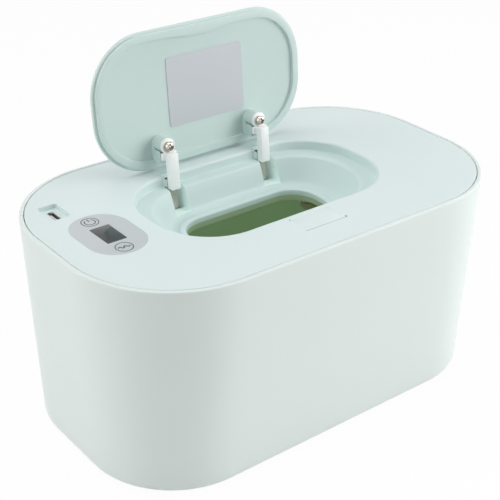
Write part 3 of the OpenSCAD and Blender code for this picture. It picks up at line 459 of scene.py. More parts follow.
def finish_piece(bm, name, material, body, slot, stands_for=()):
    bmesh.ops.recalc_face_normals(bm, faces=bm.faces[:])
    mesh = mesh_from(bm, name)
    piece = place_object(name, mesh)
    mesh.materials.append(material)
    smooth_by_angle(mesh)
    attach(piece, body)
    if stands_for:
        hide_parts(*stands_for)
    note = ""
    if stands_for:
        own = [f([v.co[k] for v in mesh.vertices]) for f in (min, max) for k in range(3)]
        node = [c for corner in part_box(stands_for[0]) for c in corner]
        note = f", box {max(abs(a - b) for a, b in zip(own, node)) / MM:.2f} mm off the node's"
    print(f"{name}: {len(mesh.polygons)} faces{note}")
    return piece


print("finishing helper ready")

# %% [markdown]
# ## Cutting holes
#
# A hole in a curved moulding is easiest with a Boolean modifier. The exact solver gives clean edges, but it
# wants cutters that don't touch one another. The result is read back as a mesh at once, so that the piece
# keeps no live modifier. With a material for the inside, the cut faces take it over from the cutter.


# %% Cutting helper
def cut_away(piece, bm, inside=None):
    """Takes the closed shapes in bm out of the piece."""
    bmesh.ops.recalc_face_normals(bm, faces=bm.faces[:])
    tool_mesh = mesh_from(bm, "cutter")
    tool = place_object("cutter", tool_mesh)
    step = piece.modifiers.new("cut", "BOOLEAN")
    step.operation, step.solver, step.object = "DIFFERENCE", "EXACT", tool
    if inside:
        tool_mesh.materials.append(inside)
        step.material_mode = "TRANSFER"
    bpy.context.view_layer.update()
    result = bpy.data.meshes.new_from_object(piece.evaluated_get(bpy.context.evaluated_depsgraph_get()))
    piece.modifiers.clear()
    old, piece.data = piece.data, result
    result.name = piece.name
    bpy.data.meshes.remove(old)
    bpy.data.objects.remove(tool)
    bpy.data.meshes.remove(tool_mesh)
    smooth_by_angle(result)
    print(f"{piece.name} after its cuts: {len(result.polygons)} faces")


print("cutting helper ready")

# %% [markdown]
# ## Boxes with rounded edges
#
# Cutters, lugs and plates are boxes. One helper takes the box's ranges in x, y and drop, stretches a unit
# cube to them and bevels all its edges, or only those that run along one axis. `about` gives a range that
# lies evenly round a middle.


# %% Box helper
def about(middle, half):
    return (middle - half, middle + half)


def box_at(bm, x, y, drop, round_off=0.0, along=None, steps=3):
    low, high = Vector((x[0], y[0], TOP - drop[1])) * MM, Vector((x[1], y[1], TOP - drop[0])) * MM
    verts = bmesh.ops.create_cube(bm, size=1)["verts"]
    for vert in verts:
        vert.co = Vector([lo + (c + 0.5) * (hi - lo) for c, lo, hi in zip(vert.co, low, high)])
    if round_off:
        edges = {e for v in verts for e in v.link_edges}
        if along is not None:
            edges = {e for e in edges if abs((e.verts[0].co - e.verts[1].co)[along]) > 1e-7}
        bmesh.ops.bevel(bm, geom=list(edges), offset=round_off * MM, segments=steps, profile=0.5,
                        affect="EDGES", material=-1)


print("box helper ready")

# %% [markdown]
# ## The tub
#
# One deep moulding with a leaning wall. Its ends lean a little less than its sides, and its corners are
# tighter at the base than at the rim, which a swept profile with one draft can't do. The ring helper can:
# each place has its own size and radius. The profile starts under the base, goes up the outside, over the
# rim and down the inside, where a ledge carries the cover, to the floor.

# %% Tub
TUB_H, TUB_WALL, BASE_EDGE, RIM_EDGE = 103.5, 2.0, 2.6, 1.1
RIM_HALF_X, RIM_HALF_Y, RIM_CORNER = 110, 66.4, 51.8
LEAN_X, LEAN_Y, LEAN_CORNER = 4.6, 5.6, 7.8  # how much smaller each is at the base
LEDGE_DROP, LEDGE_R = 26, 44.25


def tub_ring(drop, inset=0.0):
    low = drop / TUB_H
    return (RIM_HALF_X - LEAN_X * low - inset, RIM_HALF_Y - LEAN_Y * low - inset,
            RIM_CORNER - LEAN_CORNER * low - inset, 0, drop)


tub_places = soften(tub_ring(TUB_H, BASE_EDGE), tub_ring(TUB_H, 0), tub_ring(TUB_H - BASE_EDGE, 0))
tub_places += [tub_ring(drop) for drop in (85, 65, 45, 25, 8)]
tub_places += soften(tub_ring(RIM_EDGE), tub_ring(0), tub_ring(0, RIM_EDGE), 4)
tub_places += soften(tub_ring(0, 1.6), tub_ring(0, TUB_WALL), tub_ring(0.5, TUB_WALL), 3)
tub_ledge = outline(58.2, 14.6)
tub_places += [tub_ring(LEDGE_DROP - 0.1, TUB_WALL), tub_ledge(47.6, LEDGE_DROP)]
inside_from = len(tub_places)
tub_places += soften(tub_ledge(LEDGE_R + 0.65, LEDGE_DROP), tub_ledge(LEDGE_R, LEDGE_DROP),
                     tub_ledge(LEDGE_R, LEDGE_DROP + 0.6), 3)
tub_places += [tub_ledge(LEDGE_R, 28.4), tub_ring(33, TUB_WALL), tub_ring(60, TUB_WALL)]
floor_drop = TUB_H - 3
tub_places += soften(tub_ring(floor_drop - 3, TUB_WALL), tub_ring(floor_drop, TUB_WALL),
                     tub_ring(floor_drop, TUB_WALL + 3), 4)
# the tub's inside is marked as an inner side: painted green shade and a weak painted green glow
tub_bm = ring_form(tub_places, closed=False, inner=range(inside_from, len(tub_places)))
finish_piece(tub_bm, "tub_shell_moulding", tub_mint, "tub", "mint_shell", ["tub_shell"])

# %% [markdown]
# ## The cover
#
# The cover's skin runs in from the rim, rolls over the edge of the lid's pocket, drops to its ledge and down
# the bowl's wall, crosses the floor and a rounded bead, and ends in the lip round the opening. Below, it
# comes back the same way. That is one closed profile, so the whole moulding is one ring form that meets
# itself. The lower half of the lip lies in the tub's green shade, which is painted on it: it is marked as an
# inner side and gets a darker green and a weak green glow, painted shade and painted light.

# %% Sizes of the cover
cover_edge = outline(58.2, 14.6)
pocket = outline(31.8, 4.85, LID_Y)
opening = outline(23, 2, LID_Y)
COVER_R, SKIRT_R, SKIRT_IN_R, SKIRT_DROP, SKIN = 49.45, 47.65, 45.65, 24, 2.2
POCKET_R, POCKET_DROP = 28.3, 5.1
FLOOR_DROP, OPENING_R, SHADE_DROP, LIP_END = 17.6, 14, 19.6, 22.8
UNDER_DROP = FLOOR_DROP + 2
BEAD, BEAD_H = 1.8, 0.9
BOWL_TOP = (52.85, 28, 26.6, LID_Y, POCKET_DROP)
BOWL_FLOOR = (43.5, 23.2, 20, LID_Y, FLOOR_DROP)
FLOOR_UNDER = (45.5, 25.2, 22, LID_Y, UNDER_DROP)
TRAY_UNDER = (54.85, 30, 28.6, LID_Y, POCKET_DROP)


def grown(place, by, drop=None):
    half_x, half_y, r, mid_y, old_drop = place
    return (half_x + by, half_y + by, r + by, mid_y, old_drop if drop is None else drop)


print("the lip round the opening ends", LIP_END, "mm below the top surface")

# %% [markdown]
# ## The cover's profile
#
# The list is built from the rim inwards: the upper side first, then the bead and the lip, and then the
# underside back to the rim, with a groove and a rib round the opening and the skirt that stands on the seal.

# %% Cover moulding
cover_places = soften(cover_edge(COVER_R, 0.6), cover_edge(COVER_R, 0), cover_edge(COVER_R - 0.6, 0), 4)
cover_places += soften(pocket(POCKET_R + 1.5, 0), pocket(POCKET_R, 0), pocket(POCKET_R, 1.5), 6)
cover_places += soften(pocket(POCKET_R, POCKET_DROP - 0.7), pocket(POCKET_R, POCKET_DROP),
                       pocket(POCKET_R - 0.7, POCKET_DROP), 4)
cover_places += soften(grown(BOWL_TOP, 1.2), BOWL_TOP, blend_places(BOWL_TOP, BOWL_FLOOR, 0.1))
cover_places += [blend_places(BOWL_TOP, BOWL_FLOOR, t) for t in (0.35, 0.6)]
cover_places += soften(blend_places(BOWL_TOP, BOWL_FLOOR, 0.8), BOWL_FLOOR, grown(BOWL_FLOOR, -2.2), 6)
cover_places += [opening(OPENING_R + BEAD + BEAD * cos(a), FLOOR_DROP - BEAD_H * sin(a))
                 for a in [pi * k / 8 for k in range(9)]]
cover_places += [opening(OPENING_R, SHADE_DROP)]
shaded_from = len(cover_places)
cover_places += [opening(OPENING_R, SHADE_DROP + 0.3)]
cover_places += soften(opening(OPENING_R, LIP_END - 0.6), opening(OPENING_R, LIP_END),
                       opening(OPENING_R + 0.6, LIP_END), 3)
cover_places += [opening(15.8, LIP_END)]
shaded_to = len(cover_places)
cover_places += [opening(15.8, UNDER_DROP), opening(17, UNDER_DROP), opening(17, 21.5)]
cover_places += [opening(19, 21.5), opening(19, UNDER_DROP), FLOOR_UNDER]
cover_places += [blend_places(FLOOR_UNDER, TRAY_UNDER, 0.862), pocket(30.3, 7.1), pocket(30.3, SKIN)]
cover_places += [cover_edge(SKIRT_IN_R, SKIN), cover_edge(SKIRT_IN_R, SKIRT_DROP),
                 cover_edge(SKIRT_R, SKIRT_DROP)]
cover_places += [cover_edge(SKIRT_R, 3), cover_edge(COVER_R, 3)]
# the lip's lower half gets painted green shade and glow
cover_bm = ring_form(cover_places, closed=True, inner=range(shaded_from, shaded_to))
cover = finish_piece(cover_bm, "cover", mint, "cover", "mint_shell", ["top_cover"])

# %% [markdown]
# ## Slots for the arms
#
# Each arm of the lid comes up through a slot in the bowl's back wall. The slot is a box taken out of the
# moulding. Its faces get a brighter plastic of their own with a weak glow: painted light that lifts the
# shade in the narrow slot.

# %% Arm slots
ABOVE, BELOW = -1, 4  # a cutter starts above the top surface, and a through hole ends below the skin
SLOT_HALF, SLOT_DROP, SLOT_BACK = 4.35, 16.6, 36.0
cuts = bmesh.new()
for x in (-ARM_X, ARM_X):
    box_at(cuts, about(x, SLOT_HALF), (19, SLOT_BACK), (ABOVE, SLOT_DROP), 0.4, along=2)
cut_away(cover, cuts, inside=slot_mint_painted_light)

# %% [markdown]
# ## Holes for the button, the latch, the socket and the panel
#
# These four don't touch one another, so one Boolean takes them all. The upright edges of the button's hole
# and the socket's recess are bevelled first, so that each has the small corner radius that a mould leaves.
# The panel's bed has rounded ends, so it comes from the ring helper and is poured into the same bmesh.

# %% Button hole, latch opening, socket recess and panel bed
BUTTON_HALF, BUTTON_FRONT, BUTTON_BACK = 10.84, -48.46, -36.76
cuts = bmesh.new()
box_at(cuts, about(BUTTON_X, BUTTON_HALF), (BUTTON_FRONT, BUTTON_BACK), (ABOVE, BELOW), 0.1, along=2)
box_at(cuts, about(BUTTON_X, 5.7), (-36, -31), (2.25, 3.95))
box_at(cuts, about(USB_X, 4.8), about(USB_Y, 7.3), (ABOVE, BELOW), 1.3, along=2, steps=6)
panel_bed = ring_form([(13.55, 19.85, 13.5, 0, 0.8), (13.55, 19.85, 13.5, 0, ABOVE)], closed=False,
                      side_cuts=0)
bmesh.ops.translate(panel_bed, verts=panel_bed.verts, vec=(PANEL_X * MM, 0, 0))
bed_mesh = mesh_from(panel_bed, "panel_bed")
cuts.from_mesh(bed_mesh)
bpy.data.meshes.remove(bed_mesh)
cut_away(cover, cuts)

# %% [markdown]
# ## Groove, corner dots and lens window
#
# The button fits so closely that only a groove along its front and two dimples at opposite corners show.
# They run into its hole, and the lens window lies in the panel's bed, so these cutters would touch the first
# ones and come in a cut of their own.

# %% Groove, dots and window
WINDOW_X, WINDOW_Y = 4.85, (-7.75, 7.75)  # half length, and range in y
fine_cuts = bmesh.new()
box_at(fine_cuts, (BUTTON_X - 12, BUTTON_X + 10.2), (-49.0, -48.35), (ABOVE, 0.55), 0.2, along=2)
for at, r in (((BUTTON_X + 11.1, -48.3), 0.8), ((BUTTON_X - 11.2, -36.6), 0.45)):
    bmesh.ops.create_cone(fine_cuts, cap_ends=True, segments=24, radius1=r * MM, radius2=r * MM, depth=3 * MM,
                          matrix=Matrix.Translation(Vector((*at, TOP)) * MM))
box_at(fine_cuts, about(PANEL_X, WINDOW_X), WINDOW_Y, (ABOVE, BELOW), 0.3, along=2)
cut_away(cover, fine_cuts)

# %% [markdown]
# ## Wells behind the slots
#
# Each arm swings in its own narrow well: two walls, a back with a gap for the arm, a short floor and two lugs
# for the pin. They belong to the cover's moulding, but they start behind its skin, so they are plain boxes
# that meet it there. The bowl's wall leans, and the side walls follow it in four steps. A hair's breadth
# keeps each box off the slot's own faces.

# %% Arm wells
HAIR = 0.02
WALL_STEPS = ((25.3, 13.9, 18.1), (26.6, 10.6, 14), (28.7, 5.6, 10.7), (34.4, 2.0, 5.7))  # front, high, low
wells = bmesh.new()
for x in (-ARM_X, ARM_X):
    for side in (-1, 1):
        wall = sorted((x + side * (SLOT_HALF + HAIR), x + side * (SLOT_HALF + 2)))
        for front, high, low in WALL_STEPS:
            box_at(wells, wall, (front, SLOT_BACK + 0.3), (high, low))
        box_at(wells, sorted((x + side * 2.0, x + side * (SLOT_HALF + 1))), (SLOT_BACK + HAIR, 36.6),
               (2.0, 10.2))
        box_at(wells, sorted((x + side * 6.5, x + side * 8.5)), (36.5, 41.3), (2.0, 7.6), 0.4, along=0)
    box_at(wells, (x - SLOT_HALF - 1, x + SLOT_HALF + 1), (24.2, 29.3), (SLOT_DROP + HAIR, 18.1))
# painted light: the wells take the slots' brighter, glowing plastic
finish_piece(wells, "arm_wells", slot_mint_painted_light, "cover", "mint_shell")

# %% [markdown]
# ## Socket tray
#
# The recess round the USB socket has a floor of its own, with a slot in which the socket's steel shell
# stands.

# %% Socket tray
tray = bmesh.new()
box_at(tray, about(USB_X, 5.9), about(USB_Y, 8.4), (2.0, 3.6))
tray = finish_piece(tray, "socket_tray", mint, "cover", "mint_shell")
slot_hole = bmesh.new()
box_at(slot_hole, about(USB_X, 1.68), about(USB_Y, 4.57), (1, 5), 1.6, along=2, steps=8)
cut_away(tray, slot_hole)

# %% [markdown]
# ## Softened copies of CAD nodes
#
# Small parts such as the button, the latch and the arms' sleeves already have the right form in CAD, but with
# razor edges, and a razor edge catches no light. A copy of the node's mesh is merged and its flat faces are
# joined, and then one bevel rounds the edges that are still sharp. The sleeves are rounded most, because soft
# nylon shows it, and the button least, because it closes its hole with hardly a line.


# %% Softened copy helper
SHARP = 28  # degrees, above which an edge is rounded


def softened(node, round_off, material, slot, body, name):
    bm = bmesh.new()
    bm.from_mesh(frame["nodes"][node].data)
    bmesh.ops.remove_doubles(bm, verts=bm.verts, dist=2e-6)
    bmesh.ops.dissolve_limit(bm, angle_limit=radians(1), verts=bm.verts, edges=bm.edges)
    edges = [e for e in bm.edges if len(e.link_faces) == 2 and e.calc_face_angle() > radians(SHARP)]
    bmesh.ops.bevel(bm, geom=edges, offset=round_off * MM, segments=2, profile=0.5, affect="EDGES",
                    clamp_overlap=True, material=-1)
    return finish_piece(bm, name, material, body, slot, [node])


softened("release_button", 0.06, mint, "mint_shell", "button", "button")
softened("latch_bolt", 0.15, plate_white, "white_plastic", "latch", "latch")
for side in ("left", "right"):
    softened(f"arm_sleeve_{side}", 0.4, sleeve_white, "white_plastic", "lid", f"sleeve_{side}")
    softened(f"hinge_arm_{side}", 0.18, arm_steel, "arm_steel", "lid", f"arm_{side}")

# %% [markdown]
# ## The flip lid
#
# The lid is a thin plate with a lip under it that seals the pocket. In the photograph it stands open, so its
# underside shows: the lip all round, a bulge in the middle of its front for a fingertip, two screw bosses and
# a grey plate. The bulge is a push on the inner side of the lip, deepest in the middle and fading out like a
# shallow arch. It is drawn shut, as one more ring form, and then swung open.

# %% Flip lid
BULGE_HALF, BULGE_DEPTH = 17.5, 1.5
LID_R, LID_T = 28, 2
LIP_OUT, LIP_IN, LIP_DROP = 1.2, 4.7, 3.4
lid_edge = outline(31.8, 4.85, LID_Y)


def finger_bulge(at, place):
    inner_lip = place[0] < 31.8 + LID_R - LIP_IN + 0.5 and place[4] > 2.3
    off_centre = abs(at.x) / BULGE_HALF
    if not inner_lip or at.y > 0 or off_centre >= 1:
        return (0, 0, 0)
    return (0, BULGE_DEPTH * (1 - off_centre ** 2), 0)


outer, inner = LID_R - LIP_OUT, LID_R - LIP_IN
lid_places = soften(lid_edge(LID_R - 0.5, 0), lid_edge(LID_R, 0), lid_edge(LID_R, 0.5), 3)
lid_places += soften(lid_edge(LID_R, 1.3), lid_edge(LID_R, LID_T), lid_edge(LID_R - 0.7, LID_T), 4)
lid_places += [lid_edge(outer, LID_T)]
lid_places += soften(lid_edge(outer, LIP_DROP - 0.4), lid_edge(outer, LIP_DROP),
                     lid_edge(outer - 0.4, LIP_DROP), 3)
lid_places += soften(lid_edge(inner + 0.2, LIP_DROP), lid_edge(inner, LIP_DROP),
                     lid_edge(inner, LIP_DROP - 0.2), 3)
lid_places += soften(lid_edge(inner, LID_T + 0.5), lid_edge(inner, LID_T), lid_edge(inner - 0.5, LID_T), 3)
lid_bm = ring_form(lid_places, closed=False, side_cuts=40, shift=finger_bulge)
swing_open(lid_bm)
finish_piece(lid_bm, "flip_lid_shell", lid_mint_painted_shade, "lid", "mint_lid", ["flip_lid"])

# %% [markdown]
# ## Bosses on the lid
#
# Each arm is screwed to a round boss, with a box behind it that takes the arm's pull. A narrow moat parts the
# two, and a cylinder of the moat's size cuts it.

# %% Boss blocks
SCREW_Y, PEDESTAL_DROP = 20.7, 9.5
BOSS_R, MOAT, BLOCK_STEP = 3.8, 0.6, 0.5
blocks, moats = bmesh.new(), bmesh.new()
for x in (-ARM_X, ARM_X):
    box_at(blocks, about(x, 3.9), (SCREW_Y + 0.7, 29.0), (1.5, PEDESTAL_DROP - BLOCK_STEP), 0.3)
    bmesh.ops.create_cone(moats, cap_ends=True, segments=64, radius1=(BOSS_R + MOAT) * MM,
                          radius2=(BOSS_R + MOAT) * MM, depth=6 * MM,
                          matrix=Matrix.Translation(Vector((x, SCREW_Y, TOP - 7.7)) * MM))
swing_open(blocks)
swing_open(moats)
cut_away(finish_piece(blocks, "boss_blocks", lid_mint_painted_shade, "lid", "mint_lid"), moats)

# %% [markdown]
# ## Turned pieces
#
# The round boss is turned: a profile is spun round its axis, as on a lathe, with the first and the last copy
# merged. The eyes, the screws and the feet are made in the same way.


# %% Round bosses
def lathe(bm, profile, centre, steps=40):
    """Spins a profile of radius and height, in mm, round an upright axis through the centre."""
    verts = [bm.verts.new(Vector((centre[0] + r, centre[1], centre[2] + z)) * MM) for r, z in profile]
    edges = [bm.edges.new(pair) for pair in zip(verts, verts[1:])]
    bmesh.ops.spin(bm, geom=verts + edges, cent=Vector(centre) * MM, axis=(0, 0, 1), angle=2 * pi,
                   steps=steps, use_merge=True)
    bmesh.ops.remove_doubles(bm, verts=bm.verts, dist=1e-6)


BOSS_PROFILE = [(0, 0), (3.4, 0), (3.7, 0.1), (BOSS_R, 0.4), (BOSS_R, 7.7), (0, 7.7)]
round_bosses = bmesh.new()
for x in (-ARM_X, ARM_X):
    lathe(round_bosses, BOSS_PROFILE, (x, SCREW_Y, TOP - PEDESTAL_DROP))
swing_open(round_bosses)
finish_piece(round_bosses, "round_bosses", lid_mint_painted_shade, "lid", "mint_lid")

# %% [markdown]
# ## White eyes and cheeks of the sleeves
#
# At its upper end each sleeve closes round the screw with a flat white eye, and lower down it covers the
# sides of the steel with thin cheeks. The eyes are turned like the bosses, and a cheek is a very thin box
# that lies on the steel.

# %% Sleeve eyes and cheeks
EYE_R, EYE_T = 3.75, 1.28
CHEEK_IN, CHEEK_OUT = 1.84, 1.87
EYE_PROFILE = [(0, 0), (EYE_R - 0.4, 0), (EYE_R, 0.4), (EYE_R, EYE_T), (0, EYE_T)]
eyes = bmesh.new()
for x in (-ARM_X, ARM_X):
    lathe(eyes, EYE_PROFILE, (x, SCREW_Y, TOP - PEDESTAL_DROP - EYE_T))
    for side in (-1, 1):
        box_at(eyes, sorted((x + side * CHEEK_IN, x + side * CHEEK_OUT)), (37.2, 41.0), (2.8, 9.6))
swing_open(eyes)
finish_piece(eyes, "sleeve_eyes", sleeve_white, "lid", "white_plastic")

# %% [markdown]
# ## Grey plate
#
# A thin grey film with rounded corners is glued to the underside of the lid, a little right of the middle.

# %% Grey plate
PLATE_X, PLATE_HALF = 2.4, 21.85
plate_bm = bmesh.new()
box_at(plate_bm, about(PLATE_X, PLATE_HALF), (-18.2, 15.4), (2.0, 2.3), 1.6, along=2, steps=5)
swing_open(plate_bm)
finish_piece(plate_bm, "bare_plate", label_grey, "lid", "label_grey", ["lid_plate"])

# %% [markdown]
# ## Arm screws
#
# The screws are pan heads in bright chrome. Head and shank are one profile that is spun round its axis. The
# crossed recess is cut with one bar after the other, because two bars that cross would be cutters that touch.

# %% Arm screws
HEAD_DROP = PEDESTAL_DROP + 1.3
SCREW_PROFILE = [(0, -1.9), (1.1, -1.85), (1.9, -1.55), (2.3, -1.0), (2.4, -0.5), (2.4, -0.1), (2.3, 0),
                 (1.25, 0), (1.25, 5.4), (0, 5.6)]
RECESS_BARS = ((1.6, 0.4, 0.5), (0.4, 1.6, 0.55))  # half length in x and y, and depth of its floor
for name, x in (("left", -ARM_X), ("right", ARM_X)):
    screw = bmesh.new()
    lathe(screw, SCREW_PROFILE, (x, SCREW_Y, TOP - HEAD_DROP))
    swing_open(screw)
    made = finish_piece(screw, f"arm_screw_{name}", bright_chrome, "lid", "screw_chrome", ["arm_screws"])
    for half_x, half_y, floor_at in RECESS_BARS:
        bar = bmesh.new()
        box_at(bar, about(x, half_x), about(SCREW_Y, half_y), (HEAD_DROP + floor_at, HEAD_DROP + 3))
        swing_open(bar)
        cut_away(made, bar)

# %% [markdown]
# ## Control panel
#
# A printed film with rounded ends lies flush in its bed, round a smoked lens. The film is a flat ring form
# with a window cut in it, and the lens is a box with softened edges that stands in the window with a gap of
# 0.1 mm all round.

# %% Panel film and lens
film_bm = ring_form([(13.3, 19.6, 13.25, 0, 0.8), (13.5, 19.8, 13.45, 0, 0.75), (13.5, 19.8, 13.45, 0, 0.1),
                     (13.4, 19.7, 13.35, 0, 0.0)], closed=False, side_cuts=0)
bmesh.ops.translate(film_bm, verts=film_bm.verts, vec=(PANEL_X * MM, 0, 0))
film = finish_piece(film_bm, "panel_film", panel_grey, "cover", "panel_grey", ["control_panel"])
film_window = bmesh.new()
box_at(film_window, about(PANEL_X, WINDOW_X), WINDOW_Y, (ABOVE, 2), 0.3, along=2)
cut_away(film, film_window)

lens = bmesh.new()
box_at(lens, about(PANEL_X, 4.75), (-7.65, 7.65), (0.0, 2.1), 0.25)
finish_piece(lens, "display_window", smoked_lens, "cover", "smoked_lens", ["display_lens"])

# %% [markdown]
# ## Touch icons
#
# Two touch icons are printed on the film: a ring with a switch sign, and a ring with a wave. Ink has almost
# no thickness, so each stroke is a flat strip that stands 0.03 mm proud: an edge as long as the stroke is
# wide, spun through the arc's angle. The wave is four half circles in a row, turned up and down by turns.


# %% Touch icons
INK_PROUD = 0.03


def ink_arc(bm, centre, radius, start, sweep, width, steps=40):
    a = radians(start)
    ends = [(centre[0] + r * cos(a), centre[1] + r * sin(a)) for r in (radius - width / 2,
                                                                       radius + width / 2)]
    verts = [bm.verts.new(Vector((*at, TOP + INK_PROUD)) * MM) for at in ends]
    edge = bm.edges.new(verts)
    bmesh.ops.spin(bm, geom=verts + [edge], cent=Vector((*centre, TOP + INK_PROUD)) * MM, axis=(0, 0, 1),
                   angle=radians(sweep), steps=steps, use_merge=sweep == 360)


RING_R, SWITCH_R, WAVE_R = 3.85, 2.4, 0.65
icons = bmesh.new()
switch_at, wave_at = (PANEL_X - 0.7, 13.9), (PANEL_X - 0.7, -13.9)
ink_arc(icons, switch_at, RING_R, 0, 360, 0.5)
ink_arc(icons, switch_at, SWITCH_R, 125, 290, 0.55)
ink_arc(icons, wave_at, RING_R, 0, 360, 0.5)
for k in range(4):
    ink_arc(icons, (wave_at[0] + (2 * k - 3) * WAVE_R, wave_at[1]), WAVE_R, 180 if k % 2 else 0, 180, 0.75,
            12)
box_at(icons, about(switch_at[0], 0.3), (switch_at[1] + 0.6, switch_at[1] + 2.9), (-0.03, 0.02))
finish_piece(icons, "touch_icons", ink, "cover", "panel_grey")

# %% [markdown]
# ## Feet
#
# Four rubber discs with a rounded lower edge sit in pockets of the base. They are turned like the bosses.

# %% Feet
FOOT_X, FOOT_Y = 72, 42
FOOT_PROFILE = [(0, 0), (5.2, 0), (5.7, 0.15), (5.95, 0.6), (5.95, 2.5), (0, 2.5)]
feet = bmesh.new()
for x in (-FOOT_X, FOOT_X):
    for y in (-FOOT_Y, FOOT_Y):
        lathe(feet, FOOT_PROFILE, (x, y, 0))
finish_piece(feet, "feet", rubber, "tub", "foot_rubber", ["rubber_feet"])

# %% [markdown]
# ## Seal and foam
#
# The silicone seal runs round the cover's skirt and rests on the tub's ledge, and its lower edges are round
# so that it slides in. The foam is a flat sheet with a hole round the opening. Both are closed ring forms
# with soft edges.

# %% Seal and foam
SEAL_OUT, SEAL_IN = 47.25, 45.05
seal = soften(cover_edge(46.6, SKIRT_DROP), cover_edge(SEAL_OUT, SKIRT_DROP), cover_edge(SEAL_OUT, 25), 4)
seal += soften(cover_edge(SEAL_OUT, 25.1), cover_edge(SEAL_OUT, LEDGE_DROP), cover_edge(46.2, LEDGE_DROP), 4)
seal += soften(cover_edge(46.1, LEDGE_DROP), cover_edge(SEAL_IN, LEDGE_DROP), cover_edge(SEAL_IN, 25), 4)
seal += [cover_edge(SEAL_IN, SKIRT_DROP)]
finish_piece(ring_form(seal, closed=True), "seal", silicone, "cover", "silicone", ["cover_seal"])

pad_edge, pad_hole = outline(54, 10), outline(28, 9, LID_Y)
pad = soften(pad_edge(36.9, 24.0), pad_edge(37.05, 24.6), pad_edge(36.9, 25.2), 4)
pad += soften(pad_hole(15.1, 25.2), pad_hole(14.95, 24.6), pad_hole(15.1, 24.0), 4)
finish_piece(ring_form(pad, closed=True), "foam_pad", foam, "cover", "foam", ["insulation_pad"])

# %% [markdown]
# ## Coil springs
#
# A spring is a small circle of wire carried round by the spin operator, which also climbs a little on each
# turn. Two soft springs join the board to the touch icons. The third brings the latch back, and it is drawn
# shorter than its space by the latch's travel, so that the latch has room when the button is pressed.


# %% Coil springs
def coil(bm, start, axis_at, axis, wire, climb, turns, steps=28, sides=10):
    """A wire circle at start, spun round the axis through axis_at while it climbs. All in mm."""
    axis = Vector(axis)
    out = (Vector(start) - Vector(axis_at)).normalized()
    facing = Matrix((axis, out, axis.cross(out))).transposed().to_4x4()
    ends = bmesh.ops.create_circle(bm, cap_ends=True, segments=sides, radius=wire / 2 * MM)["verts"]
    bmesh.ops.transform(bm, matrix=Matrix.Translation(Vector(start) * MM) @ facing, verts=ends)
    face = [f for f in bm.faces if all(v in ends for v in f.verts)]
    count = round(steps * turns)
    bmesh.ops.spin(bm, geom=face, cent=Vector(axis_at) * MM, axis=axis, angle=2 * pi * turns, steps=count,
                   dvec=axis * (climb * turns / count) * MM, use_duplicate=False)


SPRING_WIRE = 0.39
springs = bmesh.new()
for x, y in (switch_at, wave_at):
    coil(springs, (x + 2.4, y, TOP - 8.0), (x, y, TOP - 8.0), (0, 0, 1), SPRING_WIRE, 1.4, 4)
finish_piece(springs, "touch_spring_coils", zinc_steel, "cover", "zinc_steel", ["touch_springs"])
springs = bmesh.new()
coil(springs, (BUTTON_X + 1, -56.0, TOP - 8.25), (BUTTON_X, -56.0, TOP - 8.25), (0, 1, 0), SPRING_WIRE,
     0.87, 5)
finish_piece(springs, "latch_spring_coil", zinc_steel, "cover", "zinc_steel", ["latch_spring"])

# %% [markdown]
# ## Leads
#
# A lead is a thin tube that bends smoothly through a few points: from the socket's board to the control
# board, and from there down to the heating film. It is made as a curve with a round bevel, because a curve
# keeps the tube's section even in every bend, and is then turned into a mesh. Two leads run side by side
# each time.


# %% Leads
def wires(name, routes, radius, smooth, *hand_over):
    """Round tubes along routes, given as points in mm with their height as minus the drop."""
    curve = bpy.data.curves.new(name, "CURVE")
    curve.dimensions, curve.bevel_depth, curve.bevel_resolution = "3D", radius * MM, 3
    curve.use_fill_caps, curve.resolution_u = True, 8
    for route in routes:
        spline = curve.splines.new("BEZIER")
        spline.bezier_points.add(len(route) - 1)
        for knot, (x, y, z) in zip(spline.bezier_points, route):
            knot.co = Vector((x, y, TOP + z)) * MM
            knot.handle_left_type = knot.handle_right_type = "AUTO" if smooth else "VECTOR"
    drawn = bpy.data.objects.new(name, curve)
    mesh = bpy.data.meshes.new_from_object(drawn)
    bm = bmesh.new()
    bm.from_mesh(mesh)
    bmesh.ops.remove_doubles(bm, verts=bm.verts, dist=1e-7)
    for unused, store in ((drawn, bpy.data.objects), (curve, bpy.data.curves), (mesh, bpy.data.meshes)):
        store.remove(unused)
    finish_piece(bm, name, *hand_over)


def pair_of(route, apart):
    return [[(x + k * apart, y, z) for x, y, z in route] for k in (-1, 1)]


LEAD_R, LEADS_APART = 0.6, 1.02
supply_route = [(-84.75, 28.45, -11.1), (-84.15, 25.65, -14.1), (-81.35, 21.55, -15), (-78.4, 18, -15.1),
                (-76.6, 14.5, -14.8), (-76, 13, -14.4)]
heater_route = [(-75, -14, -14.4), (-72, -12, -15.5), (-65, -4, -17), (-64, 12, -17.4), (-65, 24, -17.6),
                (-66, 32.4, -19), (-66, 33, -22.5), (-66, 33, -25.08)]
wires("supply_lead_pair", pair_of(supply_route, LEADS_APART), LEAD_R, True, red_sheath, "cover", "red_lead",
      ["supply_leads"])
wires("heater_lead_pair", pair_of(heater_route, LEADS_APART), LEAD_R, True, pale_sheath, "cover",
      "white_lead", ["heater_leads"])

# %% [markdown]
# ## Hinge springs
#
# A hinge spring is a wire too, with three turns round the pin and a leg at each end: one leg presses against
# the cover, the other lifts the arm. Its turns are points on a helix, close enough for straight pieces.

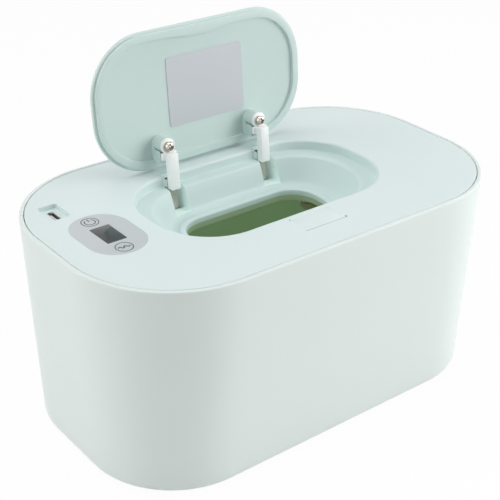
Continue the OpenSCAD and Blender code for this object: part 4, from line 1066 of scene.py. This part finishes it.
# %% Hinge springs
WIRE_R, COIL_R, COIL_PITCH, COIL_TURNS, LEG_L = 0.3, 1.9, 1.05, 3, 6
leg_angle, turn_steps = radians(290), 24 * COIL_TURNS
turns = [(6.4, 2.1, 0), (3.4, -0.75, 0)]
for k in range(turn_steps + 1):
    gone = COIL_TURNS * k / turn_steps
    a = leg_angle - 2 * pi * gone
    turns.append((COIL_R * cos(a), COIL_R * sin(a), COIL_PITCH * gone))
end_x, end_y, end_z = turns[-1]
turns.append((end_x + LEG_L * sin(leg_angle), end_y - LEG_L * cos(leg_angle), end_z + 1.6))
spring_routes = [[(side * (ARM_X - 6.1 + z), HINGE_Y + x, y - HINGE_DROP) for x, y, z in turns]
                 for side in (-1, 1)]
wires("hinge_spring_coils", spring_routes, WIRE_R, False, zinc_steel, "cover", "zinc_steel",
      ["hinge_springs"])

# %% [markdown]
# ## Finishes of the CAD nodes that stay
#
# What is hidden inside keeps its CAD mesh and only gets its material: the closing plate, the heater, the
# boards, the socket, the latch's plate, the pins and the small screws. Some of it comes into view when the
# cover is lifted.

# %% CAD nodes
stay = {
    "cover_base": plate_white, "cover_screws": zinc_steel, "heating_film": amber_film,
    "heater_plate": rolled_aluminium, "heater_screws": zinc_steel, "thermal_cutout": brown_metal,
    "thermistor": black_plastic, "control_board": green_board, "display_module": black_plastic,
    "usb_socket": zinc_steel, "usb_board": green_board, "board_screws": zinc_steel,
    "latch_retainer": plate_white, "hinge_pins": zinc_steel,
}
for node, material in stay.items():
    slots = frame["nodes"][node].data.materials
    slots.clear()
    slots.append(material)
print(len(stay), "CAD nodes have their finishes")

# %% [markdown]
# ## Floor
#
# The object stands on white paper. Real paper would turn grey away from the lamps, so for the camera, and
# for what glass and metal mirror, most of its white is a glow of its own. The rest is plain paper, which
# keeps the object's shadow and throws soft light back at it.


# %% Floor
PAPER_GLOW = 0.95


def seen_directly(board):
    """1 for what the camera sees straight on, in a mirror or through a clear piece."""
    seen = board.add("LightPath", out="Is Camera Ray")
    for way in ("Is Glossy Ray", "Is Transmission Ray"):
        seen = seen.math("MAXIMUM", seen, board.add("LightPath", out=way))
    return seen


paper_board = Board("white_floor")
paper = paper_board.add("BsdfDiffuse", sockets={"Color": (0.94, 0.94, 0.94, 1)})
glow = paper_board.add("Emission", sockets={"Color": (1, 1, 1, 1), "Strength": 1.0})
paper = paper_board.add("MixShader", sockets={0: seen_directly(paper_board) * PAPER_GLOW, 1: paper, 2: glow})
floor_bm = bmesh.new()
bmesh.ops.create_grid(floor_bm, x_segments=1, y_segments=1, size=6)
floor = place_object("floor", mesh_from(floor_bm, "floor"))
floor.data.materials.append(paper_board.finish(paper))
print("floor ready")

# %% [markdown]
# ## Room
#
# The room is white as far as the camera and the mirrors can tell, but it gives only a tenth of that as light,
# so that the lamps shape the object.

# %% Room
ROOM_LIGHT = 0.1
room = bpy.data.worlds.new("white_room")
bpy.context.scene.world = room
sky = Board(room)
strength = seen_directly(sky) * (1 - ROOM_LIGHT) + ROOM_LIGHT
sky.finish(sky.add("Background", sockets={"Color": (1, 1, 1, 1), "Strength": strength}), "OutputWorld")
print("room ready, light", ROOM_LIGHT)

# %% [markdown]
# ## Lamps
#
# The photograph was lit from both sides and from above, so the tub's near corner is its darkest part. Four
# area lamps do the same: two on the left, one on the right and one above. A render with one lamp on shows
# what it gives to each wall, and since light adds up, the powers follow from four such renders.


# %% Lamps
def lamp(name, toward, distance, size, watts):
    """An area lamp in a direction from the object's middle, facing it."""
    data = bpy.data.lights.new(name, "AREA")
    data.shape, data.size, data.energy = "SQUARE", size, watts
    obj = place_object(name, data)
    direction = Vector(toward).normalized()
    obj.location = Vector((0, 0, 0.06)) + direction * distance
    obj.rotation_euler = direction.to_track_quat("Z", "Y").to_euler()
    print(f"{name}: {watts} W")


lamp("left_back_light", (-0.85, 0.55, 0.55), 1.2, 0.9, 4.4)
lamp("left_front_light", (-0.9, -0.15, 0.45), 1.2, 0.9, 3.2)
lamp("right_light", (0.8, -0.65, 0.4), 1.2, 0.9, 10.4)
lamp("top_light", (0.0, 0.15, 1.0), 1.4, 1.2, 9.4)
